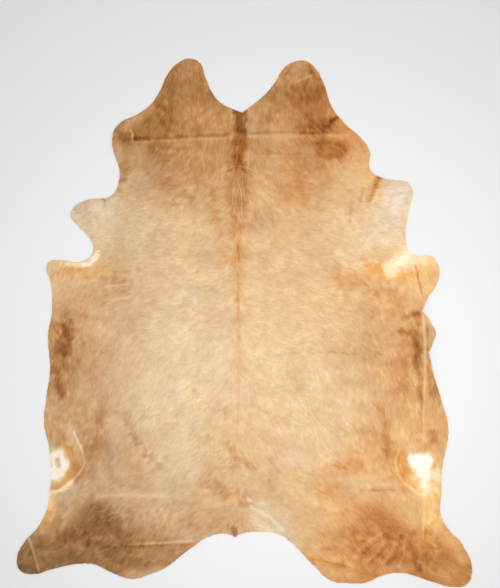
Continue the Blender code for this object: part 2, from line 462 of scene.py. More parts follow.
MARKS = (
    # neck and shoulders, and touches on the left back
    shade("left neck root blotch", -0.06, 0.1, 90, (-425, 980), (-420, 845)),
    shade("left neck upper blotch", -0.05, 0.1, 60, (-375, 1030), (-375, 980)),
    shade("left lobe blotch", -0.03, 0.0, 50, (-355, 1185), (-385, 1105)),
    shade("left lobe slope", -0.025, -0.5, 56, (-205, 1110), (-175, 1060)),
    shade("right lobe slope", -0.025, 0.0, 50, (95, 1050), (130, 1090)),
    shade("left lobe inner edge", -0.03, 0.0, 50, (-195, 1095), (-225, 1160)),
    # painted shade in the folded left corner of the neck
    dye("painted shade in the folded corner of the left neck", 0.45, -0.7, 62, (-625, 935), (-575, 915), cover=0.8),
    haze("left shoulder rim", 0.08, 0.1, 46, (-655, 885), (-620, 850), (-612, 800)),
    haze("left shoulder light", 0.07, 0.2, 60, (-540, 835), (-525, 780)),
    haze("left foreleg root, shade", -0.08, 0.3, 60, (-700, 594), (-590, 735)),
    haze("beside the wrinkles, left", -0.055, 0.5, 56, (-154, 610), (-140, 480), (-103, 372), (-100, 290)),
    haze("left withers shade", -0.065, 0.2, 60, (-461, 455), (-440, 430)),
    haze("left back shade", -0.05, 0.0, 56, (-290, 5), (-270, -15)),
    haze("left back, cooler", 0.0, -0.9, 80, (-265, 165), (-268, 135)),
    haze("left loin, cooler", -0.01, -0.8, 90, (-378, -300), (-240, -520)),
    haze("left loin shade", -0.04, 0.2, 56, (-245, -355), (-240, -380)),
    haze("beside the stripe, light", 0.06, 0.1, 34, (38, 945), (38, 915)),
    haze("left neck rim", 0.13, 0.2, 50, (-600, 955), (-540, 990), (-465, 1042)),
    shade("right lobe shade", -0.075, 0.3, 90, (270, 1095), (360, 1125)),
    # painted shade in the crook of the fold on the right lobe
    shade("painted shade in the right lobe's crook", -0.12, 0.3, 24, (318, 1238), (338, 1208), (352, 1180), ragged=0.15),
    shade("right lobe root", -0.04, 0.1, 50, (85, 995), (125, 1010)),
    dye("right neck dark", 0.45, 1.5, 50, (330, 955), (400, 962), softness=0.95, ragged=0.15),
    # painted shade in and below the tuck at the right neck's edge
    dye("right neck tuck", 0.34, 0.3, 11, (420, 980), (455, 995), softness=0.6),
    shade("right neck tuck root", -0.06, 0.2, 20, (380, 940), (425, 975)),
    dye(
        "right neck lower dark", 0.49, 2.2, 82, (398, 855), (430, 842), (470, 838), softness=0.65, ragged=0.1,
    ),
    haze("below the fold light, right", 0.07, 0.1, 30, (300, 845), (325, 838)),
    # painted highlight where the neck fold reaches the right edge
    haze("painted highlight along the right end of the neck fold", 0.08, 0.1, 26, (420, 905), (470, 900)),
    shade("right withers brown", -0.025, 0.5, 110, (200, 585), (270, 640)),
    shade("left withers brown", -0.045, -0.2, 90, (-340, 655), (-300, 630)),
    shade("right withers pale", 0.02, 0.0, 90, (110, 620), (240, 520)),
    # the neck fold: painted shade as a dark band and line along it, and painted highlights beside it
    dye("painted shade band along the left neck fold", 0.37, -0.5, 16, (-560, 893), (-470, 893), ragged=0.1),
    dye("painted shade band at the end of the left neck fold", 0.46, -0.5, 13, (-470, 893), (-305, 904), ragged=0.1),
    shade("painted shade line on the left neck fold", -0.06, 0.1, 8, (-305, 906), (-50, 916), ragged=0.4),
    line("painted shade line on the right neck fold", -0.09, 0.1, 8, (25, 921), (220, 928), (335, 921)),
    line("painted highlight along the left neck fold", 0.07, 0.0, 10, (-555, 877), (-305, 887), (-60, 899)),
    line("painted highlight along the right neck fold", 0.05, 0.2, 12, (25, 904), (270, 906), (500, 911)),
    # painted highlight on the ridge of the folded left neck corner
    line("painted highlight on the left neck's corner ridge", 0.24, 0.0, 8, (-559, 936), (-547, 916), (-549, 887)),
    # painted highlight along the fold of the right lobe
    line("painted highlight on the right lobe's fold", 0.11, 0.0, 9, (250, 1172), (295, 1190), (345, 1209)),
    line("neck faint line", -0.05, 0.0, 7, (35, 824), (280, 821)),
    # spine
    dye("dorsal stripe", 0.315, 0.9, 54, (-22, 1040), (-22, 985), (-24, 940), softness=0.6, ragged=0.1),
    dye("dorsal stripe foot", 0.35, 0.3, 14, (-38, 935), (-6, 935), ragged=0.1),
    dye("dorsal stripe, lower", 0.455, 1.8, 66, (-24, 876), (-23, 790), softness=0.7, ragged=0.05),
    line("dorsal stripe fade", -0.07, 0.6, 42, (-27, 800), (-27, 765), ragged=0.05),
    shade("spine shade, upper", -0.08, -0.1, 112, (-30, 715), (-32, 560), softness=0.6),
    haze("spine shade, lower", -0.045, 0.2, 70, (-32, 560), (-32, 455)),
    haze("spine shade, middle", -0.05, 0.9, 92, (-32, 455), (-32, 330)),
    haze("spine shade, lower middle", -0.055, 1.0, 64, (-32, 330), (-32, 110)),
    line("spine shade, rear", -0.022, 0.7, 44, (-32, 110), (-30, -280)),
    haze("loin shade", -0.025, 0.1, 120, (-30, -470), (0, -580)),
    line("spine line, upper", -0.035, 0.4, 15, (-30, 390), (-32, 296), (-32, 110)),
    line("spine line, dark", -0.04, 0.2, 13, (-33, 190), (-33, 60)),
    line("spine line, middle", -0.045, 0.4, 13, (-32, 110), (-27, -110)),
    line("spine line, rear", -0.025, 0.3, 12, (-27, -110), (-32, -525)),
    line("dorsal stripe sliver", 0.14, 0.0, 6, (-38, 850), (-39, 780), ragged=0.05),
    line("withers dash, left", -0.11, 0.1, 6, (-90, 738), (-61, 736), ragged=0.05),
    line("withers dash, right", -0.11, 0.1, 6, (-12, 743), (22, 728), ragged=0.05),
    # forelegs, armpits and ribs, and touches on the right side
    dye("left foreleg pale", 0.80, -2.5, 140, (-800, 525), (-700, 540), softness=0.95, ragged=0.3),
    dye("left foreleg root", 0.79, -1.0, 90, (-690, 480), (-670, 400), cover=0.7),
    dye("left foreleg specks", 0.70, -1.8, 40, (-800, 560), (-740, 500), (-700, 560), cover=0.35, ragged=0.9),
    line("left foreleg dash", -0.12, 0.3, 9, (-688, 602), (-686, 566)),
    line("left foreleg line", -0.14, 0.3, 7, (-754, 414), (-710, 414)),
    line("left foreleg faint line", -0.03, 0.0, 6, (-710, 414), (-583, 410)),
    dye("right foreleg pale", 0.86, -1.6, 160, (745, 640), (735, 540), (690, 450), softness=0.9),
    dye("right foreleg wisps", 0.94, -2.6, 40, (770, 640), (740, 560), (770, 480), cover=0.55, ragged=0.9),
    dye("right foreleg specks", 0.76, -0.8, 34, (690, 560), (750, 430), (700, 400), cover=0.3, ragged=0.9),
    dye("right foreleg foot", 0.835, -0.2, 60, (765, 440), (775, 385), cover=0.7),
    dye(
        "right foreleg crease fill", 0.68, 1.6, 60, (672, 700), (646, 650), (628, 610),
        cover=0.5, softness=1.0, ragged=0.1,
    ),
    dye(
        "right foreleg crease", 0.54, 1.5, 19, (662, 714), (640, 668), (616, 600),
        cover=0.85, softness=1.0, ragged=0.05,
    ),
    dye(
        "right foreleg crease, head", 0.60, 1.8, 34, (655, 712), (640, 676),
        cover=0.6, softness=1.0, ragged=0.1,
    ),
    line("right foreleg crease ridge", 0.06, -0.6, 12, (655, 645), (632, 590)),
    dye(
        "right foreleg middle crease", 0.66, 1.2, 10, (612, 672), (598, 604),
        cover=0.6, softness=0.95, ragged=0.1,
    ),
    dye(
        "right foreleg inner crease", 0.61, 0.8, 18, (582, 656), (570, 592),
        cover=0.65, softness=0.95, ragged=0.1,
    ),
    shade("right foreleg streak", -0.07, 0.4, 14, (525, 560), (515, 487)),
    dye("left armpit cream", 0.865, 0.8, 56, (-885, 288), (-827, 282), (-764, 292), ragged=0.45),
    dye("left armpit glow", 0.84, -1.0, 70, (-735, 350), (-715, 410), cover=0.6, softness=1.0, ragged=0.3),
    dye(
        "left armpit gold, outer", 0.66, 1.7, 46, (-912, 262), (-850, 246), (-790, 240),
        cover=0.8, ragged=0.5,
    ),
    dye(
        "left armpit gold, inner", 0.69, 2.4, 50, (-765, 246), (-720, 242), (-685, 252),
        cover=0.8, ragged=0.3,
    ),
    dye("left armpit white", 0.96, 0.8, 18, (-800, 282), (-765, 280), (-722, 318), ragged=0.6),
    haze("left armpit brown", -0.05, 0.1, 80, (-690, 213), (-590, 206)),
    line("left ribs light, upper", 0.08, 0.0, 10, (-685, 172), (-564, 187)),
    line("left ribs light, lower", 0.06, 0.0, 10, (-685, 109), (-564, 123)),
    dye("right armpit brown", 0.665, 1.1, 90, (480, 205), (640, 185), cover=0.8),
    dye("right armpit glow", 0.86, 1.4, 96, (720, 385), (770, 340), (800, 350), cover=0.6, softness=1.0),
    dye("right armpit gold", 0.70, 3.8, 66, (615, 268), (662, 255), (705, 236), cover=0.85, ragged=0.4),
    dye("right armpit gold, lower", 0.74, 4.6, 36, (640, 222), (690, 226), (775, 224), cover=0.8, ragged=0.4),
    dye("right armpit fringe", 0.71, 4.0, 30, (750, 226), (825, 240), ragged=0.3),
    dye("right elbow gold", 0.77, 2.4, 56, (850, 272), (905, 262), cover=0.7),
    dye(
        "right armpit cream", 0.91, 0.9, 50, (760, 300), (825, 298), (872, 312),
        cover=0.85, softness=0.9, ragged=0.4,
    ),
    dye("right armpit white", 0.95, 0.4, 60, (724, 266), (755, 290), (797, 332), softness=0.95, ragged=0.45),
    shade("right ribs light", 0.04, 0.0, 14, (515, 167), (710, 177)),
    shade("right ribs brown", -0.045, 0.5, 60, (622, 130), (769, 130)),
    shade("right ribs hollow", -0.04, 0.6, 70, (640, 60), (730, 50)),
    shade("right ribs pale", 0.035, -0.4, 60, (535, -220), (545, -250)),
    shade("right elbow root", -0.03, 0.3, 60, (650, 360), (700, 350)),
    shade("right flank pale", 0.025, -0.3, 80, (545, -370), (660, -380)),
    haze("right loin, cooler", 0.0, -0.9, 90, (480, -577), (608, -562)),
    shade("right loin pale", 0.03, -0.9, 60, (245, -660), (300, -680)),
    shade("right thigh pale", 0.015, -1.0, 80, (530, -800), (690, -810)),
    shade("right hock pale", 0.035, -0.4, 50, (830, -800), (836, -840)),
    shade("left ribs pale", 0.035, -0.3, 60, (-632, -220), (-620, -260)),
    # painted shade in the right elbow crease, and a painted highlight beside it
    line("painted shade in the crease of the right elbow", -0.17, 0.5, 6, (837, 277), (852, 199), (871, 121), ragged=0.05),
    line("painted highlight beside the crease of the right elbow", 0.05, 0.2, 9, (825, 267), (839, 189), (859, 111)),
    # belly
    # the belly fold: darker hair in its valley, deepened with painted shade, and a thin line of painted shade
    # at its foot
    dye("darker hair and painted shade in the belly fold", 0.56, 0.9, 20, (843, -180), (850, -260), (862, -410)),
    line("painted shade line at the foot of the belly fold", -0.07, 0.3, 7, (862, -410), (868, -540)),
    dye("darker hair and painted shade deep in the belly fold", 0.42, 0.8, 42, (840, -70), (840, -140), (843, -200), ragged=0.1),
    dye("right belly pleat, upper", 0.55, 1.2, 26, (775, 18), (852, 42), softness=0.95, ragged=0.1),
    haze("right belly edge", -0.12, 0.6, 40, (838, 45), (832, -55)),
    dye("right belly pleat, lower", 0.50, 0.9, 30, (772, -45), (838, -70), softness=0.95, ragged=0.1),
    dye("right belly lobe", 0.65, 0.0, 44, (908, -40), (908, -135)),
    dye("right belly rim", 0.61, 0.9, 46, (908, -195), (918, -270), (930, -345)),
    # painted highlights along the crests of the belly and flank folds
    line("painted highlight on the right belly crest", 0.11, 0.3, 9, (871, 33), (878, -109), (880, -231), (876, -340)),
    line("painted highlight on the right flank crest", 0.07, 0.2, 7, (876, -367), (871, -523), (869, -631)),
    line("right belly lobe shadow", -0.12, 0.2, 7, (893, -11), (893, -133)),
    dye("right flank rim", 0.57, 1.7, 40, (913, -535), (918, -622), cover=0.8),
    dye("right belly inner brown", 0.61, 0.8, 84, (770, -150), (745, -240), (770, -300), cover=0.8),
    dye(
        "right flank streak", 0.57, 0.8, 30, (660, -410), (688, -520), (706, -655),
        cover=0.8, softness=1.0, ragged=0.1,
    ),
    shade("right back dash", -0.07, 0.3, 9, (422, -145), (490, -152), (544, -157)),
    dye("left belly dark, upper", 0.42, 0.1, 54, (-880, -15), (-876, -70), (-885, -135), softness=0.95),
    shade("left belly brown", -0.085, 0.3, 110, (-900, -20), (-905, -290)),
    dye("left belly dark, lower", 0.47, 0.1, 28, (-916, -225), (-914, -290), (-892, -360)),
    line("left belly strip", 0.07, 0.2, 20, (-890, -245), (-884, -330)),
    line("left belly ripple", 0.09, 0.0, 8, (-871, -250), (-866, -304), (-858, -362)),
    # flanks, hocks and thighs
    dye("right flank gold", 0.65, 4.2, 54, (765, -668), (778, -712), (812, -775), ragged=0.4),
    dye("right flank gold, lower", 0.79, 3.8, 56, (825, -785), (868, -815), ragged=0.4),
    dye("right flank gold, foot", 0.83, 3.4, 84, (905, -835), (925, -880), (915, -960), (905, -1020)),
    dye(
        "right flank gold strand", 0.90, 3.0, 14, (908, -795), (914, -850), (928, -900),
        cover=0.7, ragged=0.4,
    ),
    dye("right hock gold", 0.70, 3.4, 24, (948, -935), (905, -1010), (885, -1050), cover=0.7, ragged=0.4),
    dye(
        "right flank star", 0.985, -1.0, 60, (828, -674), (862, -694), (898, -672),
        cover=1.0, softness=0.45, ragged=0.3,
    ),
    dye(
        "right flank star, middle", 0.985, -1.0, 88, (862, -692), (880, -740),
        cover=1.0, softness=0.45, ragged=0.25,
    ),
    dye("right flank star, foot", 0.95, -0.2, 50, (868, -750), (884, -805), softness=0.6, ragged=0.3),
    dye("right flank star, side", 0.955, -0.2, 44, (900, -735), (945, -745), ragged=0.4),
    dye("right flank pale spots", 0.87, 0.0, 24, (948, -705), (940, -775), cover=0.75, ragged=0.7),
    dye("right flank rim, foot", 0.75, 1.9, 46, (922, -625), (952, -668), cover=0.8),
    haze("right flank pale, head", 0.07, -0.2, 64, (765, -560), (800, -612)),
    line(
        "right flank rim light", 0.10, 0.0, 8,
        (759, -616), (734, -675), (744, -733), (778, -782), (827, -821), (886, -850),
    ),
    line("right hock line", 0.07, 0.0, 7, (876, -850), (874, -963), (871, -1065)),
    line("right thigh line", -0.09, 0.3, 8, (568, -821), (695, -819)),
    line("right thigh faint line", -0.03, 0.1, 7, (695, -821), (813, -821)),
    shade("right thigh light", 0.03, 0.0, 16, (573, -797), (759, -792)),
    dye(
        "left flank brown", 0.575, -0.4, 66, (-700, -450), (-697, -520), (-752, -620),
        cover=0.7, softness=1.0,
    ),
    shade(
        "left flank diagonal", -0.06, -0.2, 30, (-590, -450), (-540, -550), (-480, -640), (-400, -720),
        ragged=0.25,
    ),
    dye("left flank triangle", 0.76, -0.8, 50, (-848, -530), (-826, -600), cover=0.8),
    dye("left flank triangle, foot", 0.74, 0.4, 46, (-858, -618), (-820, -622), cover=0.75, ragged=0.3),
    dye("left flank gold", 0.58, 1.3, 70, (-840, -650), (-820, -690), (-850, -740), ragged=0.3),
    dye("left flank tongue", 0.68, 3.2, 26, (-858, -742), (-890, -765), (-925, -790), cover=0.8, ragged=0.3),
    dye("left flank gold, lower", 0.69, 3.6, 44, (-868, -768), (-915, -790), (-955, -800), ragged=0.3),
    dye("left flank star", 0.955, -2.2, 92, (-916, -664), (-898, -694), (-924, -736), softness=0.35),
    dye("left flank star, brow", 0.72, 0.0, 30, (-965, -612), (-935, -622), cover=0.8),
    dye("left flank star spot", 0.70, -0.4, 24, (-911, -674), (-910, -704), ragged=0.15),
    line(
        "left flank rim light", 0.15, -0.3, 9,
        (-832, -538), (-798, -606), (-778, -684), (-803, -733), (-861, -797), (-949, -836),
    ),
    dye("left flank rim foot", 0.93, 0.4, 24, (-846, -784), (-885, -816), (-958, -834), softness=0.7),
    dye("left hock pale", 0.80, 0.6, 60, (-928, -862), (-955, -925), (-985, -975), cover=0.6),
    dye("left hock cream", 0.86, 3.2, 54, (-962, -850), (-952, -890), (-958, -925), ragged=0.3),
    dye("left hock gold", 0.66, 1.6, 56, (-938, -950), (-985, -1005), cover=0.85, ragged=0.4),
    dye(
        "left thigh wisps", 0.68, -0.5, 62, (-800, -865), (-832, -920), (-885, -985), (-950, -1050),
        cover=0.65, softness=1.0, ragged=0.4,
    ),
    shade("left knee edge", -0.04, 0.0, 80, (-880, -1110), (-960, -1110), ragged=0.3),
    dye(
        "left hock gold strand", 0.76, 2.4, 16, (-905, -860), (-930, -920), (-950, -965),
        cover=0.7, ragged=0.4,
    ),
    dye("left flank wisp, front", 0.82, -1.4, 12, (-835, -806), (-800, -790), cover=0.6, ragged=0.7),
    dye(
        "left flank wisp, upper", 0.86, -1.4, 14, (-892, -852), (-850, -828), (-812, -822),
        cover=0.6, ragged=0.8,
    ),
    dye(
        "left flank wisp, middle", 0.84, -1.2, 16, (-860, -868), (-812, -842), (-770, -838),
        cover=0.6, ragged=0.8,
    ),
    dye("left flank wisp, lower", 0.82, -1.2, 14, (-900, -912), (-862, -880), cover=0.6, ragged=0.8),
    dye("left thigh wisp, front", 0.80, -1.0, 12, (-885, -950), (-840, -902), cover=0.6, ragged=0.8),
    dye("left thigh wisp, rear", 0.76, -1.0, 14, (-895, -1010), (-872, -962), cover=0.6, ragged=0.8),
    dye("left flank wisps", 0.68, -1.2, 70, (-895, -905), (-840, -850), (-765, -805), cover=0.6, ragged=0.3),
    haze("left thigh light", 0.075, -0.2, 18, (-720, -848), (-600, -842), (-400, -846)),
    shade("loin shade, left", -0.03, 0.0, 90, (-340, -520), (-60, -540)),
    shade("loin shade, right", -0.03, 0.0, 60, (-40, -670), (110, -670)),
    shade("right loin shade", -0.04, 0.1, 60, (535, -520), (660, -540)),
    shade("right rump shade", -0.03, 0.4, 60, (290, -810), (400, -820)),
    shade("left flank pale", 0.035, -0.8, 60, (-632, -510), (-632, -680)),
    haze("left flank, behind the ring", 0.08, 0.2, 56, (-708, -650), (-702, -745)),
    haze("left thigh light, inner", 0.05, -0.1, 60, (-610, -722), (-585, -735)),
    haze("left flank, inner shade", -0.045, 0.1, 56, (-712, -480), (-695, -490)),
    # hind legs and rump, and touches on the rest
    dye(
        "left knee dark", 0.47, -1.1, 130, (-725, -975), (-690, -1015), (-780, -1035), (-890, -1095),
        softness=1.0,
    ),
    haze("left knee, upper light", 0.05, 0.2, 64, (-655, -930), (-625, -950)),
    haze("left knee dark, tail", -0.06, 0.0, 80, (-640, -985), (-590, -1030), (-555, -1065), ragged=0.3),
    haze("left knee dark, front", -0.08, 0.2, 80, (-875, -1065), (-790, -1050), ragged=0.3),
    dye("left foot dark", 0.455, -2.2, 90, (-1050, -1140), (-920, -1150), cover=0.7),
    haze("left foot rim", 0.11, 0.0, 50, (-1025, -1032), (-1072, -1085)),
    haze("right neck rim", 0.08, 0.0, 48, (392, 1085), (415, 1030), (470, 985)),
    haze("right neck, warmer", 0.0, 0.8, 70, (160, 990), (185, 970)),
    haze("right withers, warmer", 0.0, 0.5, 100, (215, 745), (280, 555)),
    haze("right shoulder rim, warmer", -0.01, 1.3, 60, (590, 740), (606, 700)),
    haze("left hem rim", 0.19, 0.2, 66, (-555, -1238), (-505, -1246), (-420, -1230)),
    # painted highlight and painted shade along the left hem fold
    line("painted highlight on the left hem fold", 0.12, 0.0, 10, (-560, -1080), (-412, -1075), (-256, -1063), ragged=0.05),
    line("painted shade along the left hem fold", -0.06, 0.0, 12, (-686, -1094), (-529, -1094), (-256, -1082)),
    # painted highlight along the fold of the left foot
    line("painted highlight on the left foot fold", 0.20, 0.1, 11, (-1052, -1055), (-1027, -1133), (-1003, -1211)),
    dye("tail smear", 0.53, 0.2, 34, (-36, -1045), (-60, -1000), cover=0.85, ragged=0.3),
    haze("left rump light", 0.045, -0.2, 60, (-250, -1060), (-200, -1050)),
    shade("rump orange", -0.06, 0.7, 56, (-193, -787), (-110, -831), (-20, -868), ragged=0.2),
    shade("rump streak", -0.055, 0.4, 30, (-90, -600), (-50, -660), (50, -715), ragged=0.2),
    dye("rump wisps", 0.77, -1.5, 30, (-190, -873), (-122, -888), cover=0.7, ragged=0.4),
    dye(
        "rump pale", 0.80, -1.9, 90, (52, -905), (112, -925), (178, -985), (228, -1062),
        cover=0.8, ragged=0.5,
    ),
    dye(
        "rump pale, edge", 0.87, -2.5, 66, (58, -955), (95, -1000), (150, -1030),
        cover=0.8, softness=1.0, ragged=0.5,
    ),
    haze("rump root shade", -0.05, 0.5, 50, (10, -884), (40, -880)),
    dye("rump streak, front", 0.88, -1.6, 14, (20, -868), (70, -885), (128, -880), cover=0.85, ragged=0.5),
    dye("rump streak, middle", 0.90, -1.6, 18, (40, -905), (85, -925), (110, -960), cover=0.85, ragged=0.5),
    dye("rump streak, rear", 0.90, -1.6, 16, (95, -925), (140, -965), (180, -1010), cover=0.85, ragged=0.5),
    dye("right knee dark", 0.555, 1.7, 155, (650, -930), (705, -1010), (590, -1075), softness=1.0),
    dye(
        "right thigh pale band", 0.78, 1.2, 62, (600, -860), (690, -878), (765, -915), (815, -965),
        cover=0.5, softness=1.0, ragged=0.3,
    ),
    haze("right elbow shade", -0.045, 0.0, 50, (930, 215), (925, 190)),
    haze("right side shade", -0.045, 0.2, 56, (490, 140), (580, 215)),
    haze("right foreleg shade", -0.04, -0.2, 50, (770, 525), (780, 500)),
    haze("right hem rim light", 0.05, 0.0, 50, (440, -1240), (400, -1215)),
    haze("rump shade", -0.04, 0.1, 56, (35, -905), (250, -1045)),
    haze("left hem light", 0.05, 0.0, 60, (-325, -1050), (-300, -1040)),
    haze("left foot shade", -0.05, 0.0, 60, (-930, -1160), (-905, -1165)),
    haze("right neck edge light", 0.05, 0.0, 50, (515, 905), (530, 885)),
    haze("right withers light", 0.05, -0.1, 56, (300, 800), (320, 788)),
    haze("left lobe light", 0.045, -0.2, 64, (-281, 1120), (-295, 965)),
    haze("left thigh shade", -0.045, 0.1, 56, (-408, -900), (-390, -905)),
    haze("left neck shade", -0.04, 0.2, 50, (-205, 1025), (-195, 1015)),
    haze("right neck shade", -0.04, 0.2, 50, (135, 995), (145, 985)),
    haze("right knee rim", 0.11, 0.0, 44, (690, -1208), (750, -1200), (800, -1205)),
    haze("right foot rim", 0.08, 0.2, 50, (860, -1195), (920, -1205), (990, -1240)),
    haze("right ankle band", -0.08, 0.3, 66, (875, -1035), (930, -1065), ragged=0.3),
    haze("right ankle, warmer", 0.01, 1.2, 60, (1005, -1055), (1030, -1080)),
    haze("right hock shade", -0.05, 0.0, 50, (940, -850), (938, -880)),
    # painted shade in the crease of the right knee
    haze("painted shade in the crease of the right knee", -0.17, 0.3, 24, (690, -1048), (735, -1062), (770, -1055)),
    haze("right hem shade", -0.06, 0.1, 60, (455, -1125), (505, -1135)),
    dye(
        "right knee core", 0.49, 1.2, 26, (690, -1042), (730, -1050), (775, -1072), softness=0.95, ragged=0.3,
    ),
    dye(
        "right knee core, rear", 0.51, 1.2, 24, (815, -1095), (840, -1150), (852, -1215),
        softness=0.95, ragged=0.15,
    ),
    shade("right ankle brown", -0.04, 0.0, 40, (900, -1150), (930, -1185), ragged=0.4),
    # painted highlights on the right thigh wrinkles, with painted shade beside each
    line("painted highlight on the front right thigh wrinkle", 0.08, 0.0, 10, (560, -1110), (620, -1060), (690, -1020)),
    line("right thigh wrinkle shade, front", -0.07, 0.1, 12, (575, -1125), (635, -1078), (700, -1045)),
    line("painted highlight on the lower right thigh wrinkle", 0.07, 0.0, 10, (600, -1170), (650, -1120), (690, -1060)),
    line("right thigh wrinkle shade, lower", -0.08, 0.1, 12, (622, -1170), (670, -1122), (708, -1080)),
    line("painted highlight on the middle right thigh wrinkle", 0.09, 0.0, 10, (672, -1180), (712, -1135), (738, -1070)),
    line("right thigh wrinkle shade, middle", -0.09, 0.1, 13, (700, -1182), (735, -1140), (760, -1085)),
    line("painted highlight on the rear right thigh wrinkle", 0.09, 0.0, 11, (752, -1192), (778, -1140), (785, -1070)),
    # painted highlights on the right ankle wrinkles
    shade("painted highlight on the front wrinkle of the right ankle", 0.06, 0.3, 12, (845, -1190), (862, -1130), (850, -1080), ragged=0.2),
    shade("painted highlight on the rear wrinkle of the right ankle", 0.05, 0.3, 14, (905, -1205), (925, -1150), (960, -1110), ragged=0.2),
    # painted shade along the right hem fold, and a painted highlight on the lobe below it
    line("painted shade along the right hem fold", -0.10, 0.2, 7, (334, -1153), (451, -1177), (549, -1207), ragged=0.05),
    shade("painted highlight on the lobe below the right hem fold", 0.04, 0.1, 30, (407, -1211), (539, -1241)),
    # painted shade in the right ankle crease, and a painted highlight beside it
    line("painted shade in the right ankle fold", -0.10, 0.2, 7, (935, -1055), (988, -1011), ragged=0.05),
    line("painted highlight beside the right ankle fold", 0.08, 0.3, 7, (944, -1068), (998, -1026), ragged=0.05),
    dye(
        "right ankle gold", 0.73, 2.4, 60, (975, -1040), (1035, -1090), (1066, -1150),
        cover=0.85, ragged=0.35,
    ),
    haze("right thigh streak, upper", -0.035, 0.5, 110, (590, -570), (490, -690), (410, -800)),
    shade("right thigh streak, middle", -0.025, 0.6, 26, (400, -705), (560, -690), ragged=0.3),
    shade("right thigh light, upper", 0.05, -0.4, 20, (400, -668), (500, -655), (640, -650), ragged=0.3),
    shade("right thigh light, lower", 0.045, -0.4, 22, (420, -770), (540, -760), (680, -750), ragged=0.3),
)


@dataclass(frozen=True)
class Mottle:
    """One layer of the coat's random mottling.

    Attributes:
        seed: Seed of the layer.
        size: Size of its patches.
        tone: Strength in tone.
        warmth: Strength in warmth.
        edge: Share in the unevenness of the marks' edges.
        drag: Length over which the hair drags the layer, or 0 where it lies as it is.
    """

    seed: int
    size: float
    tone: float
    warmth: float = 0.0
    edge: float = 0.0
    drag: float = 0.0

    def layer(self, chart: Chart, lie: Lie) -> np.ndarray:
        """Makes the layer, with mean 0 and standard deviation 1."""
        grain = chart.grain(self.seed, self.size)
        return chart.comb_out(grain, lie, self.drag) if self.drag else grain


MOTTLES = (
    Mottle(seed=21, size=0.0022, tone=0.0135, edge=0.35, drag=0.020),
    Mottle(seed=22, size=0.005, tone=0.0068, drag=0.030),
    Mottle(seed=25, size=0.009, tone=0.011, edge=0.55),
    Mottle(seed=23, size=0.028, tone=0.0125, warmth=0.132, edge=0.35),
    Mottle(seed=24, size=0.075, tone=0.00875, warmth=0.132),
)


